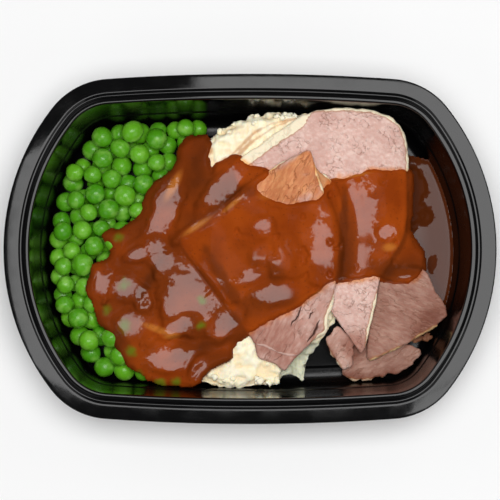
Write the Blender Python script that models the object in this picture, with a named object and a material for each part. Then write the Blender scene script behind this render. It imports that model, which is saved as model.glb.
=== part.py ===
"""A sunday roast dinner in its black plastic tray: peas, mashed potato, sliced roast meat and gravy.

Run with: blender --background --python part.py

The frame: origin on the table under the middle of the tray, +X along the tray towards the
meat, +Y across it, +Z up. Lengths in this file are in millimetres, and MM turns them into
metres as each mesh is made.
"""

import math

import bmesh
import bpy
import numpy as np
from mathutils import Vector

MM = 0.001

# Tray: its outline is three tangent arcs in each quarter, and its wall is a profile carried
# round that outline.
TRAY_LENGTH = 220.0
TRAY_WIDTH = 156.5
TRAY_HEIGHT = 38.0
END_RADIUS = 103.0  # the bowed short ends
CORNER_RADIUS = 33.5
SIDE_RADIUS = 894.0  # the nearly straight long sides
WALL = 1.0
FLANGE = 7.0  # width of the flat outer band of the rim
RIM = 11.6  # width of the whole rim, from its outer edge to the inside wall
DRAFT = 0.14  # the wall leans this much for each millimetre of height
STEP_HEIGHT = 18.0  # a stacking step runs round the wall here
STEP = 0.6
FLOOR_TOP = 1.0  # the channel round the floor, which the tray stands on
PANEL_TOP = 2.0  # the raised middle of the floor
CHANNEL_INNER = 24.5  # from the tray's outer edge
ARC_STEPS = (5, 5, 3)  # end, corner and side arc of each quarter

GAP = 0.5  # between one food and the next, so that no two solids touch
BED_GAP = 0.7  # and between the meat and the uneven mash

# Bed: the smooth top that the mashed potato gives to the meat lying on it.
BED_HEIGHT = 22.0
BED_SLOPE = 0.09  # it rises towards +Y
BED_LEFT = -10.0  # it falls away beyond this, towards the peas
BED_FALL = 0.006
BED_RIGHT = 57.0  # and here, where the back slice hangs over the mash
BED_DROOP = 0.015
BACK_TIP_DROOP = 5.0  # how far the back slice's front tip hangs down

MEAT = 2.6  # thickness of a slice
EDGE_ROUND = 0.7
LIFT_RAMP = (-13.0, -3.0)  # from its edge, where a slice comes down off the one below

MASH_ROUND = 7.0  # its top rounds down to its edge over this distance
MASH_EDGE = 0.62  # height of that edge, as a share of the top
MASH_FOOT = 0.93  # its foot is smaller than its top, because the tray's wall leans
MASH_TAIL_HEIGHT = 8.0

PEA_RADIUS = 4.6
PEA_SPREAD = 0.5  # the radius varies by this much each way
PEA_COUNT = 142
PEA_BAY_INSET = 16.9  # where the peas meet the wall, from the tray's outer edge
PEA_STEPS = 420
PEA_SEED = 11
HEAP_LOWEST = 7.5
HEAP_FOOT = 0.96  # the heap's foot is smaller than its top
HEAP_FOOT_CENTRE = (-20, 0)
HEAP_CELLS = (30, 14)  # along the tray's wall, and from the wall to the mash

GRAVY = 1.5  # thickness of the coat
GRAVY_CELL = 4.8
GRAVY_RUN = 1.1  # it runs down off an edge at this slope
POOL_TOP = 7.5
POOL_CLEARANCE = 1.3  # between the pool and the tray's wall

# Outlines, as a few points of a closed smooth curve. Each pair is X and Y.
MASH_OUTLINE = [
    (-20, 49), (-16, 53.5), (-11, 56), (-5, 59), (1, 61.2), (6, 61.3), (11, 61.8), (18, 61.8),
    (27, 61.3), (40, 59.4), (50, 55), (54, 42), (54, 20), (52, 0), (46, -16), (40, -30),
    (33, -41), (27, -48), (24.6, -58.5), (20.5, -57.6), (16.5, -56.5), (13, -60.4), (6, -61),
    (-1, -61.4), (-8, -61.5), (-15, -61.3), (-21.5, -59.3), (-20.4, -51), (-15, -40),
    (-15, -26), (-24, -12), (-34, 0), (-38, 14), (-35, 30), (-29, 43),
]
MASH_CENTRE = (12, 2)
PEA_EDGE = [  # where the peas meet the mash, from the back wall to the front wall
    (-18, 61), (-21.5, 51), (-31, 45), (-37.5, 31), (-40.5, 14), (-36.5, -1), (-26, -13.5),
    (-17.5, -26), (-17.5, -40), (-23.5, -52), (-26.5, -61),
]
SLICE_BACK = [
    (-8, 37), (-4, 41.5), (3, 46.5), (12, 53), (21, 59), (30, 62.8), (40, 63.8), (50, 63.5),
    (59, 61.8), (65.5, 58.5), (69.5, 54), (71.5, 47), (72, 38), (72.2, 26), (72.2, 14),
    (70.5, 4), (66, -3.5), (61, -9), (58.6, -15), (57, -25), (54.5, -36), (51.5, -46.5),
    (48.5, -44.5), (44.5, -39), (38, -30), (28, -16), (14, 0), (0, 18),
]
SLICE_UNDER = [
    (27, 39), (31.5, 35), (36, 32), (39.7, 25.5), (42, 16.5), (43.2, 7.5), (42, -2.5),
    (40, -11), (35, -12), (26, -4), (21, 8), (20, 22), (22, 32),
]
SLICE_FRONT = [
    (27, 44.2), (30, 35), (33.4, 25.5), (37.4, 15.5), (39.7, 4.5), (39.5, -6), (38.5, -15),
    (37.8, -25), (35.2, -31), (35, -37), (29.5, -41), (24.5, -45), (20, -50), (15.5, -54.5),
    (11, -51.5), (4, -49), (1, -41), (-8, -29), (-20, -13), (-30, 0), (-32.5, 5), (-25.5, 10.5),
    (-15, 18), (-5, 25.5), (5, 33), (14, 39), (22, 42.6),
]
SLICE_RIGHT = [
    (60, -8), (68, -6.5), (78.5, -8.5), (84.6, -18.5), (89.6, -28.6), (87.4, -31.8),
    (82, -36.8), (74.5, -41), (66.5, -45.5), (58.5, -49.2), (54, -50), (53.2, -46), (54, -36),
    (56.5, -24),
]
SLICE_LOW = [
    (38.5, -35), (35, -40.5), (35.4, -45), (39, -50), (42.5, -54.3), (45.8, -53), (47.5, -49.5),
    (48.3, -46), (47.5, -41), (44, -36.5),
]
SLICE_BASE = [
    (38, -42), (41.5, -51), (44, -57.6), (48.5, -59.3), (56, -58.9), (63, -57.6), (69.5, -55),
    (74.5, -51.5), (78.8, -46.5), (76, -43.6), (68, -40), (54, -38),
]
SCRAP = [(73.5, -40), (78, -37), (83.2, -36.6), (83.8, -39.2), (81.3, -41.7), (78.3, -42.3), (75, -42)]
GRAVY_OUTLINE = [
    (71.8, 34.5), (60.5, 35.6), (50.5, 34.5), (42.5, 32), (37, 30.5), (32, 24), (24, 20.5),
    (15, 20.5), (9, 22), (3.5, 26.5), (4, 30.5), (8.5, 34), (2, 37), (-8, 41), (-15.5, 38),
    (-17.5, 34.5), (-19, 41), (-17.8, 46.5),
    (-21, 50.5), (-27.5, 50.5), (-31.5, 47), (-32.5, 40), (-38, 33.5), (-43, 29.5), (-47, 24),
    (-48, 18.5), (-52, 13), (-59, 9), (-66, 7), (-63, 1), (-64, -5), (-71.5, -9),
    (-72.5, -19.5), (-69.5, -27), (-68, -33), (-62.5, -39), (-60, -45.5), (-55.5, -51),
    (-47, -56), (-42, -59.5), (-33, -60.6), (-26, -60), (-21.5, -56), (-15, -51.5), (-9.5, -49),
    (-9.5, -44), (-4, -39), (1.5, -36.3), (10, -32), (22, -25.5), (30.5, -19.5), (37.5, -14.5),
    (46, -13.6), (57, -12.2), (63, -14), (71, -15), (76, -12), (78.5, -8), (78, -3.5), (75, 2),
    (72, 8), (72.4, 21),
]
POOL_OUTLINE_HIDDEN = [(79, -33), (66, -31), (58, -20), (57, 4), (57, 28), (62, 43), (72.5, 44.5)]
POOL_CENTRE = (74, 4)

COLOURS = {  # base colour, roughness
    "tray": ((0.010, 0.010, 0.010), 0.22),
    "peas": ((0.13, 0.36, 0.03), 0.35),
    "mash": ((0.87, 0.80, 0.60), 0.70),
    "meat": ((0.56, 0.33, 0.27), 0.55),
    "gravy": ((0.25, 0.07, 0.015), 0.12),
}


def clear_scene():
    for obj in list(bpy.data.objects):
        bpy.data.objects.remove(obj)


def material(name):
    """A Principled BSDF of the food's colour and roughness."""
    found = bpy.data.materials.get(name)
    if found:
        return found
    colour, roughness = COLOURS[name]
    made = bpy.data.materials.new(name)
    made.use_nodes = True
    shader = made.node_tree.nodes["Principled BSDF"]
    shader.inputs["Base Color"].default_value = (*colour, 1.0)
    shader.inputs["Roughness"].default_value = roughness
    shader.inputs["Metallic"].default_value = 0.0
    return made


def add_object(name, bm, look, sharp_degrees=50.0):
    """Links the bmesh, drawn in millimetres, as an object in metres."""
    bmesh.ops.recalc_face_normals(bm, faces=bm.faces)
    if bm.calc_volume(signed=True) < 0:
        bmesh.ops.reverse_faces(bm, faces=bm.faces)
    bmesh.ops.scale(bm, vec=(MM, MM, MM), verts=bm.verts)
    mesh = bpy.data.meshes.new(name)
    bm.to_mesh(mesh)
    bm.free()
    mesh.shade_smooth()
    mesh.set_sharp_from_angle(angle=math.radians(sharp_degrees))
    mesh.materials.append(material(look))
    obj = bpy.data.objects.new(name, mesh)
    bpy.context.scene.collection.objects.link(obj)
    return obj


# --- curves and distances -----------------------------------------------------------------------


def closed_curve(points, count):
    """count points, evenly spread, along the closed Catmull-Rom curve through the given ones."""
    given = np.array(points, float)
    before, after, second = np.roll(given, 1, 0), np.roll(given, -1, 0), np.roll(given, -2, 0)
    t = np.linspace(0, 1, 12, endpoint=False)[:, None, None]
    path = 0.5 * (
        2 * given
        + (after - before) * t
        + (2 * before - 5 * given + 4 * after - second) * t**2
        + (3 * given - before - 3 * after + second) * t**3
    )
    path = path.transpose(1, 0, 2).reshape(-1, 2)
    return resampled(np.vstack([path, path[:1]]), count + 1)[:-1]


def resampled(path, count):
    """count points evenly spread along an open path."""
    along = np.concatenate([[0], np.cumsum(np.linalg.norm(np.diff(path, axis=0), axis=1))])
    at = np.linspace(0, along[-1], count)
    return np.stack([np.interp(at, along, path[:, k]) for k in range(2)], axis=1)


def nearest_on(loop, points):
    """For each point, the nearest place on the closed loop, and the distance to it, which is
    positive inside."""
    start, end = loop, np.roll(loop, -1, 0)
    edge = end - start
    offset = points[:, None, :] - start
    share = (offset * edge).sum(-1) / np.maximum((edge**2).sum(-1), 1e-12)
    near = start + np.clip(share, 0, 1)[..., None] * edge
    distance = np.linalg.norm(points[:, None, :] - near, axis=-1)
    best = distance.argmin(1)
    rows = np.arange(len(points))
    crosses = (start[:, 1] > points[:, 1:2]) != (end[:, 1] > points[:, 1:2])
    rise = np.where(edge[:, 1] == 0, 1e-9, edge[:, 1])
    level = start[:, 0] + edge[:, 0] * (points[:, 1:2] - start[:, 1]) / rise
    inside = (crosses & (points[:, 0:1] < level)).sum(1) % 2 == 1
    return near[rows, best], np.where(inside, 1, -1) * distance[rows, best]


def smoothstep(low, high, value):
    share = np.clip((value - low) / (high - low), 0, 1)
    return share * share * (3 - 2 * share)


# --- the tray -----------------------------------------------------------------------------------


def tray_arcs():
    """(centre, radius, from angle, to angle) of the end, corner and side arc of the first quarter."""
    end = np.array([TRAY_LENGTH / 2 - END_RADIUS, 0])
    side = np.array([0, TRAY_WIDTH / 2 - SIDE_RADIUS])
    to_end, to_side = END_RADIUS - CORNER_RADIUS, SIDE_RADIUS - CORNER_RADIUS
    apart = np.linalg.norm(side - end)
    along = (to_end**2 - to_side**2 + apart**2) / (2 * apart)
    unit = (side - end) / apart
    normal = np.array([-unit[1], unit[0]])
    corner = end + along * unit + math.sqrt(to_end**2 - along**2) * normal
    turn_1 = math.atan2(*(corner - end)[::-1])
    turn_2 = math.atan2(*(corner - side)[::-1])
    return [
        (end, END_RADIUS, 0.0, turn_1),
        (corner, CORNER_RADIUS, turn_1, turn_2),
        (side, SIDE_RADIUS, turn_2, math.pi / 2),
    ]


def tray_ring(inset):
    """The outline drawn in by inset, as a closed loop of points, anticlockwise from +X."""
    quarter = []
    for (centre, radius, start, stop), steps in zip(tray_arcs(), ARC_STEPS):
        for angle in np.linspace(start, stop, steps, endpoint=False):
            quarter.append(centre + (radius - inset) * np.array([math.cos(angle), math.sin(angle)]))
    quarter = np.array(quarter)
    top = np.array([[0, TRAY_WIDTH / 2 - inset]])
    half = np.vstack([quarter, top, quarter[:0:-1] * (-1, 1)])
    return np.vstack([half, -half])


def tray_inset(points):
    """How far each point lies inside the tray's outer edge."""
    folded = np.abs(points)
    end, corner, side = tray_arcs()
    depth = [radius - np.linalg.norm(folded - centre, axis=1) for centre, radius, _, _ in tray_arcs()]
    from_end, from_side = folded - end[0], folded - side[0]
    at_end = np.arctan2(from_end[:, 1], from_end[:, 0]) < corner[2]
    at_side = np.arctan2(from_side[:, 1], from_side[:, 0]) > side[2]
    return np.where(at_end, depth[0], np.where(at_side, depth[2], depth[1]))


def wall_inset(height):
    """How far the inside wall stands in from the tray's outer edge at a height above the table."""
    lean = RIM + DRAFT * (TRAY_HEIGHT - 1 - height)
    return lean + np.where(height < STEP_HEIGHT, STEP, 0.0)


def inside_profile():
    """(inset, height) of the tray's upper surface, from the rim's outer edge to the floor."""
    flange = TRAY_HEIGHT - 0.6
    return [
        (0.0, flange - 0.8),
        (0.7, flange),
        (FLANGE - 0.2, flange),
        (FLANGE + 0.7, flange - 0.9),  # the groove that a lid would snap into
        (FLANGE + 1.9, flange - 0.6),
        (FLANGE + 2.4, TRAY_HEIGHT),
        (RIM - 0.8, TRAY_HEIGHT),
        (RIM, TRAY_HEIGHT - 1.0),
        (float(wall_inset(STEP_HEIGHT)), STEP_HEIGHT + 0.3),
        (float(wall_inset(STEP_HEIGHT - 0.4)), STEP_HEIGHT - 0.4),
        (float(wall_inset(5.0)), 5.0),
        (float(wall_inset(5.0)) + 1.4, FLOOR_TOP + 1.0),
        (float(wall_inset(5.0)) + 3.6, FLOOR_TOP),
        (CHANNEL_INNER - 0.5, FLOOR_TOP),
        (CHANNEL_INNER + 0.6, PANEL_TOP),
    ]


def outside_profile():
    """(inset, height) of the underside, from the middle of the floor out to the rim's skirt."""
    foot = float(wall_inset(5.0)) + 3.6
    return [
        (CHANNEL_INNER + 0.3, PANEL_TOP - WALL),
        (CHANNEL_INNER - 0.9, 0.0),
        (foot, 0.0),
        (foot - 2.9, 1.2),
        (float(wall_inset(5.0)) - WALL, 5.0),
        (float(wall_inset(STEP_HEIGHT - 1.0)) - WALL, STEP_HEIGHT - 1.0),
        (RIM - WALL, TRAY_HEIGHT - 2.6),
        (FLANGE, TRAY_HEIGHT - 2.6),
        (FLANGE - 1.0, TRAY_HEIGHT - 1.6),
        (WALL, TRAY_HEIGHT - 1.6),
        (WALL, TRAY_HEIGHT - 3.4),
        (0.0, TRAY_HEIGHT - 3.4),
    ]


def cap_ring(bm, ring, height):
    """Closes a ring of vertices with a fan of triangles to a point in its middle."""
    middle = sum((vert.co for vert in ring), Vector()) / len(ring)
    hub = bm.verts.new((middle.x, middle.y, height))
    for one, other in zip(ring, ring[1:] + ring[:1]):
        bm.faces.new((one, other, hub))


def loft(rings, first_height, last_height):
    """A closed body from rings of points, each joined to the next, with a cap at both ends."""
    bm = bmesh.new()
    made = [[bm.verts.new(point) for point in ring] for ring in rings]
    for below, above in zip(made, made[1:]):
        for k in range(len(below)):
            bm.faces.new((below[k - 1], below[k], above[k], above[k - 1]))
    cap_ring(bm, made[0], first_height)
    cap_ring(bm, made[-1], last_height)
    return bm


def at_height(ring, height):
    return np.column_stack([ring, np.broadcast_to(height, len(ring))])


def make_tray():
    under = [at_height(tray_ring(inset), height) for inset, height in outside_profile()]
    over = [at_height(tray_ring(inset), height) for inset, height in inside_profile()]
    bm = loft(under + over, PANEL_TOP - WALL, PANEL_TOP)
    add_object("tray", bm, "tray", sharp_degrees=40)


def floor_under(points):
    """Height of the tray's inside surface below each point."""
    profile = np.array(inside_profile()[7:])
    return np.interp(tray_inset(points), profile[:, 0], profile[:, 1])


# --- heights of the food ------------------------------------------------------------------------


def bed(points):
    """The smooth surface that the meat lies on: a slope, falling away at both ends."""
    x, y = points[:, 0], points[:, 1]
    left = np.maximum(BED_LEFT - x, 0)
    return BED_HEIGHT + BED_SLOPE * y - BED_FALL * left**2


def lift(points, outline, rise):
    """rise over the outline, ramping down to nothing outside it."""
    _, distance = nearest_on(closed_curve(outline, 90), points)
    return rise * smoothstep(*LIFT_RAMP, distance)


def under_back(points):
    """The back slice lies on the bed, hangs down past the mash's right edge, and its front tip
    droops."""
    x, y = points[:, 0], points[:, 1]
    hang = BED_DROOP * np.maximum(x - BED_RIGHT, 0) ** 2
    droop = BACK_TIP_DROOP * smoothstep(30, 55, x) * (np.maximum(-5 - y, 0) / 41) ** 1.3
    return bed(points) + BED_GAP - hang - droop


def under_under(points):
    return under_back(points) + MEAT + GAP


def under_front(points):
    """The front slice lies on the bed, and on the two slices below it where they reach."""
    over_back = lift(points, SLICE_BACK, MEAT + GAP)
    over_both = lift(points, SLICE_UNDER, MEAT + GAP)
    return bed(points) + BED_GAP + over_back + over_both


def under_right(points):
    """A plane that leans on the tray's right wall."""
    return 7.05 + 0.19 * points[:, 0] + 0.15 * points[:, 1]


def under_base(points):
    return 5.0 + 0.13 * (points[:, 1] + 60) + 0.03 * (points[:, 0] - 45)


def under_low(points):
    return under_base(points) + MEAT + GAP + 0.15 * np.maximum(points[:, 1] + 54.5, 0)


def under_scrap(points):
    return 9.5 + 0.12 * (points[:, 0] - 78)


def mash_over(points):
    """The mash's top: the bed, rounded down to its edge, with a low tail at the front."""
    _, distance = nearest_on(closed_curve(MASH_OUTLINE, 90), points)
    rounded = MASH_EDGE + (1 - MASH_EDGE) * np.sqrt(smoothstep(0.0, MASH_ROUND, distance))
    tail = smoothstep(12, 22, points[:, 0]) * smoothstep(-40, -50, points[:, 1])
    top = bed(points) * rounded
    return top + (MASH_TAIL_HEIGHT - top) * tail


# --- slices, mash and pool: rings drawn in from an outline --------------------------------------


def slab(name, outline, look, under, over, centre, spokes, shares, foot=1.0):
    """A body with that outline. Its rings are the outline drawn in towards the centre by each
    of the shares, on the underside and then on top. The top's outer ring is a little lower, so
    that the edge is rounded."""
    edge = closed_curve(outline, spokes)
    hub = np.array(centre, float)
    below = [hub + (edge - hub) * share * foot for share in shares]
    above = [hub + (edge - hub) * share for share in reversed(shares)]
    rings = [at_height(ring, under(ring)) for ring in below]
    rings.append(at_height(above[0], over(above[0]) - EDGE_ROUND))
    rings += [at_height(ring, over(ring)) for ring in above[1:]]
    bm = loft(rings, float(under(hub[None])[0]), float(over(hub[None])[0]))
    add_object(name, bm, look)


def slice_of_meat(name, outline, under, centre, spokes, shares=(0.5, 0.85, 1.0)):
    slab(name, outline, "meat", under, lambda points: under(points) + MEAT, centre, spokes, shares)


def make_meat():
    slice_of_meat("slice_base", SLICE_BASE, under_base, (58, -50), 22)
    slice_of_meat("slice_low", SLICE_LOW, under_low, (42, -45), 16)
    slice_of_meat("meat_scrap", SCRAP, under_scrap, (79, -40), 12)
    slice_of_meat("slice_right", SLICE_RIGHT, under_right, (69, -27), 24)
    slice_of_meat("slice_back", SLICE_BACK, under_back, (43, 20), 30, (0.35, 0.68, 0.92, 1.0))
    slice_of_meat("slice_under", SLICE_UNDER, under_under, (31, 12), 22)
    slice_of_meat("slice_front", SLICE_FRONT, under_front, (12, -6), 30, (0.35, 0.68, 0.92, 1.0))


def tray_under(points):
    """The lowest that food can reach in the tray: the raised floor, or the wall above it."""
    return np.maximum(floor_under(points), PANEL_TOP) + GAP


def make_mash():
    slab(
        "mash", MASH_OUTLINE, "mash", tray_under, mash_over, MASH_CENTRE,
        spokes=48, shares=(0.3, 0.6, 0.82, 0.93, 1.0), foot=MASH_FOOT,
    )


def pool_outline():
    """The pool's edge: along the right wall at its own level, then back under the slices."""
    wall = tray_ring(float(wall_inset(POOL_TOP)) + POOL_CLEARANCE)
    beside = wall[(wall[:, 0] > 80) & (wall[:, 1] > -30) & (wall[:, 1] < 42)]
    return np.vstack([beside[np.argsort(-beside[:, 1])], POOL_OUTLINE_HIDDEN])


def make_pool():
    slab(
        "gravy_pool", pool_outline(), "gravy",
        lambda points: np.minimum(tray_under(points), POOL_TOP - 1.0),
        lambda points: np.full(len(points), POOL_TOP),
        POOL_CENTRE, spokes=30, shares=(0.5, 0.85, 1.0), foot=0.93,
    )


# --- peas ---------------------------------------------------------------------------------------


def left_wall(inset):
    """The tray's left end, from the back edge of the peas round to the front one."""
    ring = tray_ring(inset)
    return ring[ring[:, 0] < -20]


def pea_bay():
    """The closed outline of the space that the peas lie in."""
    return np.vstack([left_wall(PEA_BAY_INSET), PEA_EDGE[::-1]])


def settle_peas():
    """Centres and radii of the peas, after they fall into the bay and push each other apart."""
    rng = np.random.default_rng(PEA_SEED)
    bay = pea_bay()
    radius = PEA_RADIUS + PEA_SPREAD * rng.uniform(-1, 1, PEA_COUNT)
    tries = rng.uniform(bay.min(0), bay.max(0), (PEA_COUNT * 8, 2))
    flat = tries[nearest_on(bay, tries)[1] > PEA_RADIUS][:PEA_COUNT]
    centre = np.column_stack([flat, rng.uniform(8, 60, PEA_COUNT)])
    for step in range(PEA_STEPS):
        centre[:, 2] -= 0.5 * (1 - step / PEA_STEPS)
        apart = centre[:, None] - centre[None]
        distance = np.linalg.norm(apart, axis=-1) + np.eye(PEA_COUNT) * 1e3
        overlap = np.clip(radius[:, None] + radius[None] - distance, 0, None)
        centre += 0.35 * (apart / distance[..., None] * overlap[..., None]).sum(1)
        near, inside = nearest_on(bay, centre[:, :2])
        inward = (centre[:, :2] - near) * np.sign(inside)[:, None]
        inward /= np.maximum(np.linalg.norm(inward, axis=1), 1e-6)[:, None]
        centre[:, :2] += inward * np.clip(radius - inside, 0, 2)[:, None]
        centre[:, 2] = np.maximum(centre[:, 2], PANEL_TOP + radius)
    return centre, radius


def heap_over(points, peas):
    """The skin of the heap: a shallow cap over each pea, and the highest cap at each place."""
    centre, radius = peas
    away = np.linalg.norm(points[:, None] - centre[None, :, :2], axis=-1)
    caps = centre[:, 2] + radius - away**2 / (2 * radius)
    return np.maximum(caps.max(1), HEAP_LOWEST)


def make_peas(peas):
    """A ribbon of cells between the tray's left wall and the mash, with the peas as its skin."""
    bm = bmesh.new()
    bmesh.ops.create_grid(bm, x_segments=HEAP_CELLS[0], y_segments=HEAP_CELLS[1], size=1.0)
    outer, inner = resampled(left_wall(PEA_BAY_INSET), 60), resampled(np.array(PEA_EDGE, float), 60)
    grid = (np.array([v.co.xy for v in bm.verts]) + 1) / 2
    along = [
        np.column_stack([np.interp(grid[:, 0], np.linspace(0, 1, 60), side[:, k]) for k in range(2)])
        for side in (outer, inner)
    ]
    across = 0.97 * grid[:, 1:]
    for vert, (x, y) in zip(bm.verts, along[0] * (1 - across) + along[1] * across):
        vert.co = (x, y, 0)
    stand_up(
        bm,
        under=tray_under,
        over=lambda points: heap_over(points, peas),
        foot=HEAP_FOOT,
        foot_centre=HEAP_FOOT_CENTRE,
    )
    add_object("peas", bm, "peas", sharp_degrees=180)


# --- gravy --------------------------------------------------------------------------------------


def stand_up(bm, under, over, foot=1.0, foot_centre=(0, 0)):
    """Turns a flat sheet into a body between two heights. Its underside is drawn in towards
    foot_centre."""
    made = bmesh.ops.extrude_face_region(bm, geom=bm.faces[:])
    above = [v for v in made["geom"] if isinstance(v, bmesh.types.BMVert)]
    below = list(set(bm.verts) - set(above))
    hub = np.array(foot_centre, float)
    for verts, height, scale in ((below, under, foot), (above, over, 1.0)):
        flat = hub + (np.array([v.co.xy for v in verts]) - hub) * scale
        for vert, (x, y), z in zip(verts, flat, height(flat)):
            vert.co = (x, y, z)


def food_over(points, peas):
    """Height of the highest food at each point, or of the tray's floor, without the gravy."""
    covers = [
        (MASH_OUTLINE, mash_over),
        (pea_bay(), lambda flat: heap_over(flat, peas)),
        (pool_outline(), lambda flat: np.full(len(flat), POOL_TOP)),
        (SLICE_BACK, lambda flat: under_back(flat) + MEAT),
        (SLICE_UNDER, lambda flat: under_under(flat) + MEAT),
        (SLICE_FRONT, lambda flat: under_front(flat) + MEAT),
        (SLICE_RIGHT, lambda flat: under_right(flat) + MEAT),
        (SLICE_LOW, lambda flat: under_low(flat) + MEAT),
    ]
    high = np.minimum(floor_under(points), POOL_TOP)
    for outline, over in covers:
        inside = nearest_on(closed_curve(outline, 90), points)[1] > -0.6
        high = np.where(inside, np.maximum(high, over(points)), high)
    return high


def make_gravy(peas):
    """A coat over the middle of the food: a grid trimmed to its outline, lying above all that
    it covers."""
    loop = closed_curve(GRAVY_OUTLINE, 150)
    middle, span = (loop.min(0) + loop.max(0)) / 2, (loop.max(0) - loop.min(0)) / 2
    cells = np.ceil(2 * span / GRAVY_CELL).astype(int)
    bm = bmesh.new()
    bmesh.ops.create_grid(bm, x_segments=int(cells[0]), y_segments=int(cells[1]), size=1.0)
    for vert in bm.verts:
        vert.co = (*(np.array(vert.co.xy) * span + middle), 0)
    centres = np.array([face.calc_center_median().xy for face in bm.faces])
    outside = [face for face, depth in zip(bm.faces[:], nearest_on(loop, centres)[1]) if depth < 0]
    bmesh.ops.delete(bm, geom=outside, context="FACES")
    edge = [vert for vert in bm.verts if vert.is_boundary]
    snapped, _ = nearest_on(loop, np.array([vert.co.xy for vert in edge]))
    for vert, (x, y) in zip(edge, snapped):
        vert.co = (x, y, 0)

    turns = np.linspace(0, 2 * math.pi, 12, endpoint=False)
    around = np.stack([np.cos(turns), np.sin(turns)], axis=1)

    def under(points):
        high = food_over(points, peas)
        for cells_away in (0.5, 1.1, 1.6, 2.2, 2.8, 3.4):
            fall = GRAVY_RUN * GRAVY_CELL * max(cells_away - 1.6, 0)
            for offset in around * GRAVY_CELL * cells_away:
                high = np.maximum(high, food_over(points + offset, peas) - fall)
        return high + GAP

    def over(points):
        inward = np.clip(nearest_on(loop, points)[1] / GRAVY_CELL, 0, 1)
        return under(points) + GRAVY * (0.55 + 0.45 * inward)

    stand_up(bm, under, over)
    add_object("gravy", bm, "gravy", sharp_degrees=180)


def main():
    clear_scene()
    peas = settle_peas()
    make_tray()
    make_mash()
    make_peas(peas)
    make_meat()
    make_pool()
    make_gravy(peas)


main()
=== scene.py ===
import math

import bpy
import numpy as np
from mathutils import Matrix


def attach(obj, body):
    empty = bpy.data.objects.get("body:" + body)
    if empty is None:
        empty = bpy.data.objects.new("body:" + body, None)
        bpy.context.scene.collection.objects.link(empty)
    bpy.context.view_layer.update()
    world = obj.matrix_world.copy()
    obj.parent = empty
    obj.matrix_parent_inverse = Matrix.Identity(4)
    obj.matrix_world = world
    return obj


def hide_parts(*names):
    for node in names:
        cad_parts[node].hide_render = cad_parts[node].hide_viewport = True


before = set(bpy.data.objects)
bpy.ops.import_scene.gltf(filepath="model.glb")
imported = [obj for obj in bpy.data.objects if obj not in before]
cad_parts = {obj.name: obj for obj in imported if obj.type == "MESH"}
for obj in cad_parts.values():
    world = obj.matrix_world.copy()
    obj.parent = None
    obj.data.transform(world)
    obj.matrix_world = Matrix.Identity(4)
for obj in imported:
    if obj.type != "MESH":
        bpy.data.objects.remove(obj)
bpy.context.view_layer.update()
mm = 0.001
print("frame loaded:", ", ".join(sorted(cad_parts)))


# quintic-smoothed random values on a lattice of cubes (or squares) of the given size, from -1 to 1
def latticeNoise(points, size, seed):
    spot = np.asarray(points, float) / size
    cell = np.floor(spot).astype(np.int64)
    part = spot - cell
    part = part ** 3 * (part * (part * 6 - 15) + 10)
    axes = spot.shape[-1]
    total = np.zeros(spot.shape[:-1])
    for corner in range(2 ** axes):
        step = np.array([corner >> axis & 1 for axis in range(axes)])
        key = ((cell + step) * np.array([73856093, 19349663, 83492791][:axes])).sum(-1) + seed * 2654435761
        key = (key ^ key >> 13) * 1274126177 & 0xFFFFFFFF
        value = ((key ^ key >> 16) & 0xFFFFFF) / 0x7FFFFF - 1
        total += value * np.where(step == 1, part, 1 - part).prod(-1)
    return total


# lattice noise added up, each octave half as large and half as strong as the last
def roughNoise(points, size, seed, octaves=3):
    return sum(latticeNoise(points, size / 2 ** k, seed + k) / 2 ** k for k in range(octaves))


# 0 below low, 1 above high, and an S between them
def smoothStep(low, high, value):
    share = np.clip((value - low) / (high - low), 0, 1)
    return share * share * (3 - 2 * share)


# points spread evenly along a path
def spreadAlong(path, count):
    along = np.concatenate([[0], np.cumsum(np.linalg.norm(np.diff(path, axis=0), axis=1))])
    at = np.linspace(0, along[-1], count)
    return np.stack([np.interp(at, along, path[:, k]) for k in range(path.shape[1])], axis=1)


# count points, anticlockwise, along the closed Catmull-Rom curve through a few given ones
def smoothLoop(points, count):
    given = np.array(points, float)
    before, after, second = np.roll(given, 1, 0), np.roll(given, -1, 0), np.roll(given, -2, 0)
    t = np.linspace(0, 1, 12, endpoint=False)[:, None, None]
    path = 0.5 * (
        2 * given
        + (after - before) * t
        + (2 * before - 5 * given + 4 * after - second) * t ** 2
        + (3 * given - before - 3 * after + second) * t ** 3
    )
    path = path.transpose(1, 0, 2).reshape(-1, 2)
    following = np.roll(path, -1, 0)
    area = (path[:, 0] * following[:, 1] - path[:, 1] * following[:, 0]).sum()
    if area < 0:
        path = path[::-1]
    return spreadAlong(np.vstack([path, path[:1]]), count + 1)[:-1]


# the nearest place on a closed loop, and the distance to it, positive inside
def nearestOnLoop(loop, points):
    flat = points.reshape(-1, 2)
    start, edge = loop, np.roll(loop, -1, 0) - loop
    near, depth = np.empty_like(flat), np.empty(len(flat))
    for first in range(0, len(flat), 20000):
        some = flat[first:first + 20000]
        offset = some[:, None] - start
        share = (offset * edge).sum(-1) / np.maximum((edge ** 2).sum(-1), 1e-12)
        spot = start + np.clip(share, 0, 1)[..., None] * edge
        away = np.linalg.norm(some[:, None] - spot, axis=-1)
        best = away.argmin(1)
        rows = np.arange(len(some))
        y = some[:, 1:2]
        crosses = (start[:, 1] > y) != (start[:, 1] + edge[:, 1] > y)
        level = start[:, 0] + edge[:, 0] * (y - start[:, 1]) / np.where(edge[:, 1] == 0, 1e-9, edge[:, 1])
        inside = (crosses & (some[:, 0:1] < level)).sum(1) % 2 == 1
        near[first:first + 20000] = spot[rows, best]
        depth[first:first + 20000] = np.where(inside, 1, -1) * away[rows, best]
    return near.reshape(points.shape), depth.reshape(points.shape[:-1])


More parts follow.
